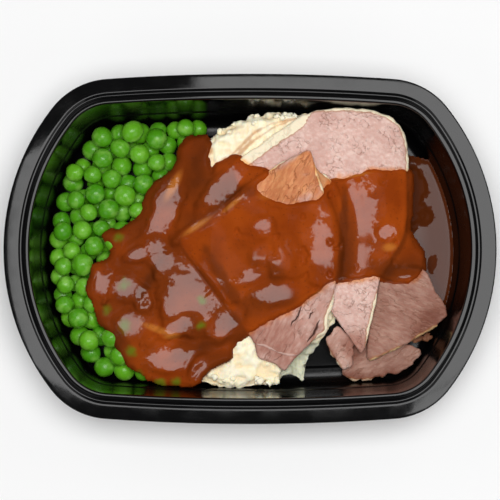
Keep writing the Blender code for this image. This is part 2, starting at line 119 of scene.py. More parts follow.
# distance inside a smooth outline, on any array of points; beyond a margin round the outline it is
# only the distance to its box
def depthIn(outline, points, count=130, margin=14.0):
    loop = smoothLoop(outline, count)
    beyond = np.maximum(loop.min(0) - points, points - loop.max(0)).max(-1)
    depth = -beyond
    close = beyond < margin
    depth[close] = nearestOnLoop(loop, points[close])[1]
    return depth


# Gaussian blur of a field on a grid, by its Fourier transform, with the edges reflected
def blurField(field, spread):
    pad = int(4 * spread) + 2
    wide = np.pad(field, pad, mode="reflect")
    rows = np.fft.fftfreq(wide.shape[0])[:, None]
    cols = np.fft.rfftfreq(wide.shape[1])[None]
    soft = np.exp(-2 * (math.pi * spread) ** 2 * (rows ** 2 + cols ** 2))
    return np.fft.irfft2(np.fft.rfft2(wide) * soft, s=wide.shape)[pad:-pad, pad:-pad]


# vertex numbers of the squares of a grid that is closed round its columns
def gridFaces(rows, columns):
    r, c = np.meshgrid(np.arange(rows - 1), np.arange(columns), indexing="ij")
    right = (c + 1) % columns
    squares = [r * columns + c, r * columns + right, (r + 1) * columns + right, (r + 1) * columns + c]
    return np.stack(squares, axis=-1).reshape(-1, 4)


# puts points (in millimetres) and arrays of faces into a mesh, with values stored at its points
def addPiece(name, points, faces, material, replaced=(), values=None):
    mesh = bpy.data.meshes.new(name)
    mesh.vertices.add(len(points))
    mesh.vertices.foreach_set("co", (np.asarray(points) * mm).astype(np.float32).ravel())
    corners = np.concatenate([block.ravel() for block in faces])
    sizes = np.concatenate([np.full(len(block), block.shape[1]) for block in faces])
    mesh.loops.add(len(corners))
    mesh.loops.foreach_set("vertex_index", corners.astype(np.int32))
    mesh.polygons.add(len(sizes))
    mesh.polygons.foreach_set("loop_start", (np.cumsum(sizes) - sizes).astype(np.int32))
    mesh.update(calc_edges=True)
    mesh.validate()
    for key, value in (values or {}).items():
        if value.ndim == 1:
            mesh.attributes.new(key, "FLOAT", "POINT").data.foreach_set("value", value.astype(np.float32))
        else:
            rgba = np.column_stack([value, np.ones(len(value))]).astype(np.float32)
            mesh.attributes.new(key, "FLOAT_COLOR", "POINT").data.foreach_set("color", rgba.ravel())
    mesh.shade_smooth()
    mesh.materials.append(material)
    piece = bpy.data.objects.new(name, mesh)
    bpy.context.scene.collection.objects.link(piece)
    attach(piece, "root")
    if replaced:
        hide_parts(*replaced)
    print(f"{name}: {len(points)} points, {len(sizes)} faces")
    return piece


# rings of points (rings, columns, 3) closed at both ends by a fan to one point; outside when the
# rings climb and their points run anticlockwise
def ringBody(rings, firstHub, lastHub):
    count, columns = rings.shape[:2]
    points = np.vstack([rings.reshape(-1, 3), [firstHub, lastHub]])
    k = np.arange(columns)
    nextK = (k + 1) % columns
    top = (count - 1) * columns
    first = np.column_stack([nextK, k, np.full(columns, count * columns)])
    last = np.column_stack([top + k, top + nextK, np.full(columns, count * columns + 1)])
    return points, [gridFaces(count, columns), first, last]


# a sheet over the kept squares of a grid: a top, an underside and a wall round every edge; the last
# thing it gives is each point's cell, for values worked out on the grid
def sheetBody(flat, top, under, keep):
    rows, columns = top.shape
    for _ in range(3):  # fills squares that would touch others at one corner only
        a, b, c, d = keep[:-1, :-1], keep[:-1, 1:], keep[1:, :-1], keep[1:, 1:]
        twin = (a & d & ~b & ~c) | (b & c & ~a & ~d)
        for part in (np.s_[:-1, :-1], np.s_[:-1, 1:], np.s_[1:, :-1], np.s_[1:, 1:]):
            keep[part] |= twin
    r, c = np.nonzero(keep)
    corner = r * columns + c
    squares = np.stack([corner, corner + 1, corner + columns + 1, corner + columns], axis=1)
    wide = np.pad(keep, 1)
    walls = []
    sides = {(-1, 0): (0, 1), (0, 1): (1, 2), (1, 0): (2, 3), (0, -1): (3, 0)}  # way out: its two corners
    for (dr, dc), (one, other) in sides.items():
        bare = ~wide[r + 1 + dr, c + 1 + dc]
        start, end = squares[bare, one], squares[bare, other]
        walls.append(np.stack([start + rows * columns, end + rows * columns, end, start], axis=1))
    faces = np.vstack([squares, squares[:, ::-1] + rows * columns, *walls])
    points = np.vstack([np.column_stack([flat.reshape(-1, 2), side.ravel()]) for side in (top, under)])
    used, faces = np.unique(faces, return_inverse=True)
    return points[used], [faces.reshape(-1, 4)], used % (rows * columns)


# one unit ball: rings of points from pole to pole
def unitBall(rows, columns):
    tilt = np.linspace(0, math.pi, rows + 2)[1:-1][:, None]
    turn = np.linspace(0, 2 * math.pi, columns, endpoint=False)[None]
    flat = [np.sin(tilt) * np.cos(turn), np.sin(tilt) * np.sin(turn)]
    return ringBody(np.stack([*flat, -np.cos(tilt) + 0 * turn], axis=-1), (0, 0, -1), (0, 0, 1))


# faces of one body repeated for each of count copies of its points
def repeatFaces(faces, each, count):
    offsets = np.arange(count)[:, None, None] * each
    return [(block[None] + offsets).reshape(-1, block.shape[1]) for block in faces]


# a material with its shader, and short ways to add a node and to wire the shader
class Finish:
    def __init__(self, name, **sockets):
        self.material = bpy.data.materials.new(name)
        self.material.use_nodes = True
        self.tree = self.material.node_tree
        self.shader = self.tree.nodes["Principled BSDF"]
        for socket, value in sockets.items():
            self.shader.inputs[socket.replace("_", " ")].default_value = value

    def add(self, kind, settings=None, **inputs):
        return addNode(self.tree, kind, settings, **inputs)

    def feed(self, output, socket):
        self.tree.links.new(output, self.shader.inputs[socket])


# wires a socket to another, or sets it to a value
def setSocket(tree, socket, value):
    if isinstance(value, bpy.types.NodeSocket):
        tree.links.new(value, socket)
    else:
        socket.default_value = value


# adds a node; its inputs go by name, or by number as input0 and input1
def addNode(tree, kind, settings=None, **inputs):
    node = tree.nodes.new("ShaderNode" + kind)
    for key, value in (settings or {}).items():
        setattr(node, key, value)
    for key, value in inputs.items():
        name = key.replace("_", " ")
        socket = node.inputs[int(name[5:])] if name.startswith("input") else node.inputs[name]
        setSocket(tree, socket, value)
    return node


# one sum of two numbers
def addMath(tree, operation, one, other):
    return addNode(tree, "Math", {"operation": operation}, input0=one, input1=other).outputs[0]


# an S from 0 at low to 1 at high, or between two other ends
def addStep(tree, value, low, high, **ends):
    settings = {"interpolation_type": "SMOOTHSTEP"}
    return addNode(tree, "MapRange", settings, Value=value, From_Min=low, From_Max=high, **ends).outputs[0]


# mixes two colours by a factor
def mixColour(finish, factor, one, other, blend="MIX"):
    node = finish.add("Mix", {"data_type": "RGBA", "blend_type": blend, "clamp_factor": True})
    for number, value in ((0, factor), (6, one), (7, other)):
        value = (*value, 1.0) if isinstance(value, tuple) else value
        setSocket(finish.tree, node.inputs[number], value)
    return node.outputs[2]


# a node group with one output; an input given as None is a vector, and a number is a usual value
def newGroup(name, output, **inputs):
    group = bpy.data.node_groups.new(name, "ShaderNodeTree")
    for label, value in inputs.items():
        kind = "NodeSocketVector" if value is None else "NodeSocketFloat"
        socket = group.interface.new_socket(name=label, in_out="INPUT", socket_type=kind)
        if value is not None:
            socket.default_value = value
    group.interface.new_socket(name=output, in_out="OUTPUT", socket_type="NodeSocketFloat")
    given, out = group.nodes.new("NodeGroupInput"), group.nodes.new("NodeGroupOutput")
    return group, given.outputs, out.inputs


# patches: noise sharpened between two levels into a mask from 0 to 1
def makePatchGroup():
    group, given, out = newGroup("patches", "Mask", Place=None, Scale=100.0, Low=0.4, High=0.6, Detail=3.0)
    noise = addNode(group, "TexNoise", Vector=given["Place"], Scale=given["Scale"], Detail=given["Detail"])
    level = addStep(group, noise.outputs["Fac"], given["Low"], given["High"])
    group.links.new(level, out["Mask"])
    return group


# grain: fine noise and soft cells, added up as a height
def makeGrainGroup():
    group, given, out = newGroup("grain", "Height", Place=None, Scale=600.0, Cells=0.5)
    where = {"Vector": given["Place"], "Scale": given["Scale"]}
    noise = addNode(group, "TexNoise", Detail=4.0, Roughness=0.6, **where)
    cells = addNode(group, "TexVoronoi", {"feature": "SMOOTH_F1"}, Smoothness=0.6, **where)
    part = addMath(group, "MULTIPLY", cells.outputs["Distance"], given["Cells"])
    group.links.new(addMath(group, "ADD", noise.outputs["Fac"], part), out["Height"])
    return group


patchGroup = makePatchGroup()
grainGroup = makeGrainGroup()


def patches(finish, at, scale, low, high, detail=3.0):
    settings = {"node_tree": patchGroup}
    node = finish.add("Group", settings, Place=at, Scale=scale, Low=low, High=high, Detail=detail)
    return node.outputs["Mask"]


def grain(finish, at, scale, cells=0.5):
    node = finish.add("Group", {"node_tree": grainGroup}, Place=at, Scale=scale, Cells=cells)
    return node.outputs["Height"]


def bump(finish, height, distance, strength=1.0):
    return finish.add("Bump", Height=height, Distance=distance * mm, Strength=strength).outputs["Normal"]


# the place on the piece, in metres
def place(finish):
    return finish.add("TexCoord").outputs["Object"]


# a value stored at the points of the mesh
def stored(finish, name):
    return finish.add("Attribute", {"attribute_name": name}).outputs["Fac"]


# a mask times a number
def times(finish, value, factor):
    return addMath(finish.tree, "MULTIPLY", value, factor)


# camera, light and floor
view = {
    "cameraAt": (0.0, -45.9, 888.0),
    "lookAt": (0.0, -0.9, 38.0),
    "seenWidth": 222.7,  # across the rim, from side to side of the frame
    "panels": [  # overhead panels that the gloss mirrors: middle and size
        ((85.0, 31.0), (630.0, 218.0)),
        ((175.0, 185.0), (450.0, 92.0)),
        ((275.0, -105.0), (250.0, 50.0)),
    ],
    "panelHeight": 938.0,
    "panelGlow": 3.4,  # times a lit white surface
    "topGlow": 5.8,  # a wide overhead light that gives no mirror image
    "topSize": 800.0,
    "topHeight": 1250.0,
    "boxGlow": 0.5,
    "boxSize": 900.0,
    "boxAway": 1100.0,
    "boxHeight": 850.0,
    "roomGlow": 0.06,
    "floorWhite": 0.93,
    "floorReach": 6.0,  # in metres
    "sensor": 36.0,
    "lampAim": (0, 0, 20),
}


# a rectangle of light at a place, aimed at the tray; its power is glow x pi x area
def addPanel(name, at, size, glow):
    data = bpy.data.lights.new(name, "AREA")
    data.shape = "RECTANGLE"
    data.size, data.size_y = size[0] * mm, size[1] * mm
    data.energy = glow * math.pi * data.size * data.size_y
    lamp = bpy.data.objects.new(name, data)
    bpy.context.scene.collection.objects.link(lamp)
    lamp.location = np.array(at) * mm
    aim = np.array(view["lampAim"], float) - np.array(at)
    turn = math.atan2(aim[1], aim[0]) - math.pi / 2
    lamp.rotation_euler = (math.acos(-aim[2] / np.linalg.norm(aim)), 0, turn)
    return lamp


# the camera, the panels overhead, the wide light, four soft boxes round the tray, and the floor
def makeStage():
    camData = bpy.data.cameras.new("camera")
    camera = bpy.data.objects.new("camera", camData)
    bpy.context.scene.collection.objects.link(camera)
    at, look = np.array(view["cameraAt"]), np.array(view["lookAt"])
    reach = np.linalg.norm(look - at)
    camData.sensor_width = view["sensor"]
    camData.lens = view["sensor"] * reach / view["seenWidth"]
    camData.clip_start = 0.01
    camera.location = at * mm
    camera.rotation_euler = (math.atan2(look[1] - at[1], at[2] - look[2]), 0, 0)
    bpy.context.scene.camera = camera

    for number, (middle, size) in enumerate(view["panels"]):
        panel = addPanel(f"panel{number}", (*middle, view["panelHeight"]), size, view["panelGlow"])
        panel.rotation_euler = (0, 0, 0)
    top = addPanel("topLight", (0, 0, view["topHeight"]), (view["topSize"],) * 2, view["topGlow"])
    top.rotation_euler = (0, 0, 0)
    top.visible_glossy = False
    for k in range(4):
        turn = math.radians(45 + 90 * k)
        spot = (view["boxAway"] * math.cos(turn), view["boxAway"] * math.sin(turn), view["boxHeight"])
        addPanel(f"softBox{k}", spot, (view["boxSize"],) * 2, view["boxGlow"])

    world = bpy.data.worlds.new("room")
    bpy.context.scene.world = world
    world.use_nodes = True
    world.node_tree.nodes["Background"].inputs["Color"].default_value = (1, 1, 1, 1)
    world.node_tree.nodes["Background"].inputs["Strength"].default_value = view["roomGlow"]
    bpy.context.scene.view_settings.view_transform = "Standard"

    paper = Finish("floorPaper", Base_Color=(*[view["floorWhite"]] * 3, 1), Roughness=0.9)
    mesh = bpy.data.meshes.new("floor")
    far = view["floorReach"]
    mesh.from_pydata([(-far, -far, 0), (far, -far, 0), (far, far, 0), (-far, far, 0)], [], [(0, 1, 2, 3)])
    mesh.materials.append(paper.material)
    floor = bpy.data.objects.new("floor", mesh)
    bpy.context.scene.collection.objects.link(floor)
    print("stage ready")


makeStage()


tray = {
    "length": 220.0,
    "width": 156.5,
    "height": 38.0,
    "endRadius": 103.0,
    "cornerRadius": 33.5,
    "sideRadius": 894.0,
    "wall": 1.0,
    "flange": 7.0,
    "rim": 11.6,
    "draft": 0.14,
    "stepHeight": 18.0,
    "step": 0.6,
    "floorTop": 1.0,
    "panelTop": 2.0,
    "channelInner": 24.5,
    "around": (30, 24, 16),  # steps in each arc of a quarter
    "smearFrom": (22, 60),  # gravy smears set in along X
    "smearTop": (34.0, 24.0),  # and fade out up the wall
    "black": (0.002, 0.002, 0.0022),
    "smeared": (0.007, 0.0035, 0.0022),
}


# (centre, radius, from, to) of the three tangent arcs of the first quarter of the outline
def trayArcs():
    end = np.array([tray["length"] / 2 - tray["endRadius"], 0])
    side = np.array([0, tray["width"] / 2 - tray["sideRadius"]])
    toEnd, toSide = tray["endRadius"] - tray["cornerRadius"], tray["sideRadius"] - tray["cornerRadius"]
    apart = np.linalg.norm(side - end)
    along = (toEnd ** 2 - toSide ** 2 + apart ** 2) / (2 * apart)
    unit = (side - end) / apart
    normal = np.array([-unit[1], unit[0]])
    corner = end + along * unit + math.sqrt(toEnd ** 2 - along ** 2) * normal
    turnOne = math.atan2(*(corner - end)[::-1])
    turnTwo = math.atan2(*(corner - side)[::-1])
    return [(end, tray["endRadius"], 0.0, turnOne), (corner, tray["cornerRadius"], turnOne, turnTwo),
            (side, tray["sideRadius"], turnTwo, math.pi / 2)]


# the outline drawn in by inset, anticlockwise from +X, with so many steps in each arc
def trayRing(inset, steps):
    quarter = []
    for (centre, radius, start, stop), count in zip(trayArcs(), steps):
        turn = np.linspace(start, stop, count, endpoint=False)[:, None]
        quarter.append(centre + (radius - inset) * np.hstack([np.cos(turn), np.sin(turn)]))
    quarter = np.vstack(quarter)
    half = np.vstack([quarter, [[0, tray["width"] / 2 - inset]], quarter[:0:-1] * (-1, 1)])
    return np.vstack([half, -half])


# how far points lie inside the tray's outer edge
def trayInset(points):
    flat = np.abs(points.reshape(-1, 2))
    arcs = trayArcs()
    depth = [radius - np.linalg.norm(flat - centre, axis=1) for centre, radius, _, _ in arcs]
    turn = [np.arctan2(*(flat - centre).T[::-1]) for centre, _, _, _ in arcs]
    inset = np.where(turn[0] < arcs[1][2], depth[0], np.where(turn[2] > arcs[2][2], depth[2], depth[1]))
    return inset.reshape(points.shape[:-1])


# how far the inside wall stands in from the outer edge, at a height
def wallInset(height):
    lean = tray["draft"] * (tray["height"] - 1 - height)
    return tray["rim"] + lean + np.where(height < tray["stepHeight"], tray["step"], 0)


# (inset, height) of the tray's upper surface, from the rim to the floor: a flat flange, a groove, a
# flat-topped bead, the wall with its step, and the floor
def insideProfile():
    flat, flange, rim = tray["height"] - 0.6, tray["flange"], tray["rim"]
    step, channel = tray["stepHeight"], tray["channelInner"]
    floor, panel = tray["floorTop"], tray["panelTop"]
    lowWall, highWall = float(wallInset(5.0)), float(wallInset(step))
    return [
        (0.0, flat - 0.9), (0.04, flat - 0.35), (0.15, flat - 0.1), (0.4, flat), (0.7, flat + 0.01),
        (2.0, flat + 0.02), (4.0, flat + 0.02), (5.6, flat + 0.02), (6.2, flat + 0.015),
        (flange - 0.4, flat), (flange - 0.1, flat - 0.12), (flange + 0.2, flat - 0.5),
        (flange + 0.5, flat - 0.62), (flange + 0.8, flat - 0.64), (flange + 1.4, flat - 0.62),
        (flange + 1.65, flat - 0.5), (flange + 1.9, flat + 0.1), (flange + 2.1, flat + 0.42),
        (flange + 2.35, flat + 0.55), (flange + 2.6, flat + 0.59), (flange + 3.2, flat + 0.6),
        (rim - 0.9, flat + 0.6), (rim - 0.6, flat + 0.57), (rim - 0.35, flat + 0.42),
        (rim - 0.15, flat + 0.1), (rim - 0.04, flat - 0.5), (rim + 0.1, flat - 1.4),
        (float(wallInset(28.0)), 28.0), (highWall, step + 0.5), (highWall + 0.12, step + 0.1),
        (highWall + 0.5, step - 0.25), (highWall + 0.68, step - 0.8), (float(wallInset(11.0)), 11.0),
        (lowWall, 5.0), (lowWall + 0.35, 3.7), (lowWall + 1.0, 2.5), (lowWall + 1.9, 1.6),
        (lowWall + 2.9, 1.15), (lowWall + 4.0, floor), (channel - 0.9, floor), (channel - 0.3, floor + 0.25),
        (channel + 0.3, panel - 0.2), (channel + 0.9, panel),
    ]


# (inset, height) of the underside, from the middle of the floor out to the rim's skirt
def outsideProfile():
    top, wall, rim, flange = [tray[key] for key in ("height", "wall", "rim", "flange")]
    step, channel = tray["stepHeight"], tray["channelInner"]
    lowWall, stepIn = float(wallInset(5.0)), float(wallInset(step - 1))
    return [
        (channel + 0.6, tray["panelTop"] - wall), (channel - 0.1, 0.7), (channel - 0.5, 0.25),
        (channel - 1.1, 0.0), (lowWall + 3.4, 0.0), (lowWall + 2.0, 0.2), (lowWall + 0.8, 0.9),
        (lowWall - 0.1, 2.0), (lowWall - 0.7, 3.4), (lowWall - wall, 5.0), (stepIn - wall, step - 1.0),
        (stepIn - wall - 0.55, step), (rim - wall + 0.1, top - 4.0), (rim - wall - 0.2, top - 2.8),
        (rim - wall - 0.8, top - 2.5), (flange, top - 2.5), (flange - 0.6, top - 2.2),
        (flange - 1.0, top - 1.7), (wall + 0.3, top - 1.7), (wall, top - 2.0), (wall, top - 3.2),
        (wall - 0.2, top - 3.4), (0.2, top - 3.4), (0.0, top - 3.2),
    ]


# height of the tray's inside surface under points, from the part of its profile inside the rim
def floorUnder(points):
    profile = np.array(insideProfile())
    profile = profile[profile[:, 0] > tray["rim"] - 0.1]
    return np.interp(trayInset(points), profile[:, 0], profile[:, 1])


# the profile carried round the outline, capped by the flat middle of the floor
def makeTray(finish):
    rings = []
    for inset, height in outsideProfile() + insideProfile():
        ring = trayRing(inset, tray["around"])
        rings.append(np.column_stack([ring, np.full(len(ring), height)]))
    rings = np.array(rings)[:, ::-1]
    points, faces = ringBody(rings, (0, 0, tray["panelTop"] - tray["wall"]), (0, 0, tray["panelTop"]))
    # thin brown smears of gravy on the floor and the wall round the meat, and less gloss on the wall
    near = smoothStep(*tray["smearFrom"], points[:, 0]) * smoothStep(*tray["smearTop"], points[:, 2])
    smear = near * smoothStep(-0.2, 0.6, roughNoise(points[:, :2], 16.0, 41, 3))
    satin = smoothStep(36.0, 33.0, points[:, 2])
    addPiece("tray_visual", points, faces, finish, ["tray"], {"smear": smear, "satin": satin})


# black glossy plastic, with a faint haze, thin brown smears, and less gloss inside than on the rim
def trayFinish():
    look = Finish("trayPlastic", Roughness=0.07, IOR=1.5)
    at = place(look)
    haze = patches(look, at, 90.0, 0.35, 0.75, 5.0)
    look.feed(mixColour(look, stored(look, "smear"), tray["black"], tray["smeared"]), "Base Color")
    rough = look.add("MapRange", Value=haze, To_Min=0.045, To_Max=0.10).outputs[0]
    satin = look.add("MapRange", Value=stored(look, "satin"), To_Max=0.2).outputs[0]
    look.feed(addMath(look.tree, "ADD", rough, satin), "Roughness")
    look.feed(bump(look, grain(look, at, 260.0, 0.2), 0.02, 0.2), "Normal")
    return look.material


makeTray(trayFinish())


# where the food lies
layout = {
    "gap": 0.5,
    "bedGap": 0.7,
    "bedHeight": 22.0,
    "bedSlope": 0.09,
    "bedLeft": -10.0,
    "bedFall": 0.006,
    "bedRight": 57.0,
    "bedDroop": 0.015,
    "tipDroop": 5.0,
    "meat": 2.6,
    "liftRamp": (-13.0, -3.0),
    "poolTop": 7.5,
}

# outlines seen from above, anticlockwise or clockwise, through which smooth curves are drawn
mashOutline = [
    (-20, 49), (-16, 53.5), (-11, 56), (-5, 59), (1, 61.6), (6, 62.2), (11, 63), (18, 63), (27, 61.5),
    (40, 59.4), (50, 55), (54, 42), (54, 20), (52, 0), (46, -16), (40, -30), (33, -41), (27, -48),
    (24.6, -58.5), (20.5, -57.6), (16.5, -56.5), (13, -61), (6, -61.8), (-1, -62.4), (-8, -62.3),
    (-15, -62), (-22.5, -60), (-20.4, -51), (-15, -40), (-15, -26), (-24, -12), (-34, 0), (-38, 14),
    (-35, 30), (-29, 43),
]
peaEdge = [
    (-18, 61), (-21.5, 51), (-31, 45), (-37.5, 31), (-40.5, 14), (-36.5, -1), (-26, -13.5), (-17.5, -26),
    (-17.5, -40), (-23.5, -52), (-26.5, -61),
]
backOutline = [
    (-8, 37), (-4, 41.5), (3, 46.5), (12, 53), (21, 59), (30, 62.8), (40, 63.8), (50, 63.5), (59, 61.8),
    (65.5, 58.5), (69.5, 54), (71.5, 47), (72, 38), (72.2, 26), (72.2, 14), (70.5, 4), (66, -3.5),
    (61, -9), (58.6, -15), (57, -25), (54.5, -36), (51.5, -46.5), (48.5, -44.5), (44.5, -39), (38, -30),
    (28, -16), (14, 0), (0, 18),
]
underOutline = [
    (27, 39), (31.5, 35), (36, 32), (39.7, 25.5), (42, 16.5), (43.2, 7.5), (42, -2.5), (40, -11),
    (35, -12), (26, -4), (21, 8), (20, 22), (22, 32),
]
frontOutline = [
    (27, 44.2), (30, 35), (33.4, 25.5), (37.4, 15.5), (39.7, 4.5), (39.5, -6), (38.5, -15), (37.8, -25),
    (35.2, -31), (35, -37), (29.5, -41), (24.5, -45), (20, -50), (15.5, -54.5), (11, -51.5), (4, -49),
    (1, -41), (-8, -29), (-20, -13), (-30, 0), (-32.5, 5), (-25.5, 10.5), (-15, 18), (-5, 25.5), (5, 33),
    (14, 39), (22, 42.6),
]
rightOutline = [
    (60, -8), (68, -6.5), (78.5, -8.5), (84.6, -18.5), (89.6, -28.6), (87.4, -31.8), (82, -36.8),
    (74.5, -41), (66.5, -45.5), (58.5, -49.2), (54, -50), (53.2, -46), (54, -36), (56.5, -24),
]
lowOutline = [
    (38.5, -35), (35, -40.5), (35.4, -45), (39, -50), (42.5, -54.3), (45.8, -53), (47.5, -49.5),
    (48.3, -46), (47.5, -41), (44, -36.5),
]
baseOutline = [
    (38, -42), (41.5, -51), (44, -57.6), (48.5, -59.3), (56, -58.9), (63, -57.6), (69.5, -55),
    (74.5, -51.5), (78.8, -46.5), (76, -43.6), (68, -40), (54, -38),
]
scrapOutline = [(73.5, -40), (78, -37), (83.2, -36.6), (83.8, -39.2), (81.3, -41.7), (78.3, -42.3), (75, -42)]


# the smooth surface that the meat lies on: a slope, falling away to the left
def bed(p):
    left = np.maximum(layout["bedLeft"] - p[..., 0], 0)
    return layout["bedHeight"] + layout["bedSlope"] * p[..., 1] - layout["bedFall"] * left ** 2


# a rise over an outline, coming down to nothing outside it
def liftOver(p, outline):
    return (layout["meat"] + layout["gap"]) * smoothStep(*layout["liftRamp"], depthIn(outline, p, 90))


# the back slice lies on the bed, hangs down past the mash and droops to its front tip
def underBack(p):
    x, y = p[..., 0], p[..., 1]
    hang = layout["bedDroop"] * np.maximum(x - layout["bedRight"], 0) ** 2
    droop = layout["tipDroop"] * smoothStep(30, 55, x) * (np.maximum(-5 - y, 0) / 41) ** 1.3
    return bed(p) + layout["bedGap"] - hang - droop


# the slice between lies on the back slice
def underUnder(p):
    return underBack(p) + layout["meat"] + layout["gap"]


# the front slice lies on the bed and on both others where it crosses them
def underFront(p):
    return bed(p) + layout["bedGap"] + liftOver(p, backOutline) + liftOver(p, underOutline)


# slopes of the loose slices at the front right, each a plane
def underRight(p):
    return 7.05 + 0.19 * p[..., 0] + 0.15 * p[..., 1]


def underBase(p):
    return 5.0 + 0.13 * (p[..., 1] + 60) + 0.03 * (p[..., 0] - 45)


def underLow(p):
    return underBase(p) + layout["meat"] + layout["gap"] + 0.15 * np.maximum(p[..., 1] + 54.5, 0)


def underScrap(p):
    return 9.5 + 0.12 * (p[..., 0] - 78)


# name: outline, underside, hub that its rings are drawn in towards, points round its edge
slices = {
    "slice_base": (baseOutline, underBase, (58, -50), 220),
    "slice_low": (lowOutline, underLow, (42, -45), 140),
    "meat_scrap": (scrapOutline, underScrap, (79, -40), 110),
    "slice_right": (rightOutline, underRight, (69, -27), 260),
    "slice_back": (backOutline, underBack, (43, 20), 420),
    "slice_under": (underOutline, underUnder, (31, 12), 220),
    "slice_front": (frontOutline, underFront, (12, -6), 420),
}


pea = {
    "radius": 4.6,
    "spread": 0.5,
    "count": 142,
    "bayInset": 16.9,
    "steps": 420,
    "seed": 11,
    "bayArcs": (5, 5, 3),
    "rows": 14,
    "columns": 22,
    "dents": (1.1, 0.02, 0.07),  # size, and least and most depth
    "wrinkles": (0.42, [0.01, 0.03, 0.06], [0.45, 0.35, 0.2]),  # size, depths, and shares of peas
    "skin": ((0.062, 0.285, 0.006), (0.135, 0.43, 0.016)),
    "paleSkin": (0.34, 0.66, 0.12),
}


# the outline of the space that the peas lie in: the tray's left end, closed by the mash
def peaBay():
    ring = trayRing(pea["bayInset"], pea["bayArcs"])
    return np.vstack([ring[ring[:, 0] < -20], peaEdge[::-1]])


# peas fall into the bay step by step and push each other and the walls apart
def settlePeas():
    rng = np.random.default_rng(pea["seed"])
    bay, count = peaBay(), pea["count"]
    radius = pea["radius"] + pea["spread"] * rng.uniform(-1, 1, count)
    tries = rng.uniform(bay.min(0), bay.max(0), (count * 8, 2))
    flat = tries[nearestOnLoop(bay, tries)[1] > pea["radius"]][:count]
    centre = np.column_stack([flat, rng.uniform(8, 60, count)])
    for step in range(pea["steps"]):
        centre[:, 2] -= 0.5 * (1 - step / pea["steps"])
        apart = centre[:, None] - centre[None]
        distance = np.linalg.norm(apart, axis=-1) + np.eye(count) * 1e3
        overlap = np.clip(radius[:, None] + radius[None] - distance, 0, None)
        centre += 0.35 * (apart / distance[..., None] * overlap[..., None]).sum(1)
        near, inside = nearestOnLoop(bay, centre[:, :2])
        inward = (centre[:, :2] - near) * np.sign(inside)[:, None]
        inward /= np.maximum(np.linalg.norm(inward, axis=1), 1e-6)[:, None]
        centre[:, :2] += inward * np.clip(radius - inside, 0, 2)[:, None]
        centre[:, 2] = np.maximum(centre[:, 2], tray["panelTop"] + radius)
    return centre, radius


# matrices that turn about one axis, one for each angle
def turnAbout(axis, angles):
    one, other = (axis + 1) % 3, (axis + 2) % 3
    turns = np.zeros((len(angles), 3, 3))
    turns[:, axis, axis] = 1
    turns[:, one, one] = turns[:, other, other] = np.cos(angles)
    turns[:, other, one] = np.sin(angles)
    turns[:, one, other] = -np.sin(angles)
    return turns


# one unit ball repeated at every centre; each is squeezed a little along its own axis, dented and
# wrinkled by noise, given a shallow dimple at its pole, and turned by three random angles
def makePeas(finish, centre, radius):
    rng = np.random.default_rng(5)
    points, faces = unitBall(pea["rows"], pea["columns"])
    count, each = len(centre), len(points)
    squeeze = 1 + np.column_stack([rng.normal(0, 0.025, (count, 2)), rng.normal(-0.05, 0.03, count)])
    shape = points[None] * squeeze[:, None]
    seeds = rng.uniform(-100, 100, (count, 1, 3))
    size, least, most = pea["dents"]
    dents = latticeNoise(points[None] + seeds, size, 3) * rng.uniform(least, most, (count, 1))
    size, depths, shares = pea["wrinkles"]
    wrinkles = latticeNoise(points[None] + seeds, size, 4) * rng.choice(depths, (count, 1), p=shares)
    away = np.arccos(np.clip(points[:, 2], -1, 1))
    dimple = -0.05 * np.exp(-(away / 0.3) ** 2) * rng.uniform(0, 1, (count, 1))
    shape = shape * (1 + dents + wrinkles + dimple)[..., None]
    first, second, third = rng.uniform(0, 2 * math.pi, (3, count))
    turns = turnAbout(2, third) @ turnAbout(0, second) @ turnAbout(2, first)
    shape = np.einsum("nij,nkj->nki", turns, shape)
    world = (centre[:, None] + shape * radius[:, None, None]).reshape(-1, 3)
    tint = np.repeat(rng.uniform(0, 1, count), each)
    addPiece("peas_visual", world, repeatFaces(faces, each, count), finish, ["peas"], {"tint": tint})


# bright green skin, each pea a little different, paler in patches
def peaFinish():
    look = Finish("peaSkin", Roughness=0.35, IOR=1.45, Specular_IOR_Level=0.4, Subsurface_Weight=0.1,
                  Subsurface_Scale=0.002, Subsurface_Radius=(0.6, 1.0, 0.2), Coat_Weight=1.0,
                  Coat_Roughness=0.27)
    at = place(look)
    body = mixColour(look, stored(look, "tint"), *pea["skin"])
    pale = patches(look, at, 210.0, 0.45, 0.75)
    look.feed(mixColour(look, times(look, pale, 0.45), body, pea["paleSkin"]), "Base Color")
    look.feed(look.add("MapRange", Value=pale, To_Min=0.24, To_Max=0.4).outputs[0], "Roughness")
    look.feed(bump(look, grain(look, at, 420.0, 0.6), 0.25, 0.6), "Normal")
    return look.material


peaCentre, peaRadius = settlePeas()
makePeas(peaFinish(), peaCentre, peaRadius)
print("peas settled")


mash = {
    "round": 4.5,
    "edge": 0.8,
    "foot": 0.93,
    "tailHeight": 8.0,
    "centre": (12, 2),
    "columns": 560,
    "rings": 84,
    "lumps": ((9.0, 1.3), (4.6, 1.3), (2.6, 0.9)),  # size and height of each
    "grains": ((1.7, 0.42), (1.1, 0.30)),
    "crumbs": 24,
    "crumbSize": (0.8, 1.9),
    "sideRings": 14,
    # two lines where gravy has run along the back
    "streaks": [
        ((-15, 37), (-5, 46), (2, 53), (10, 57), (23, 60)),
        ((-9, 40), (1, 49), (12, 56), (21, 59.5)),
    ],
    "cream": ((1.0, 0.93, 0.72), (1.0, 0.89, 0.62)),
    # painted shade: the darker tan that the creases between lumps are mixed towards
    "creaseShadeColour": (0.84, 0.62, 0.34),
    # painted shade: the grey-green that the low tail, lying in shadow, is mixed towards
    "tailShadeColour": (0.66, 0.66, 0.50),
    "soaked": (0.50, 0.20, 0.055),
}


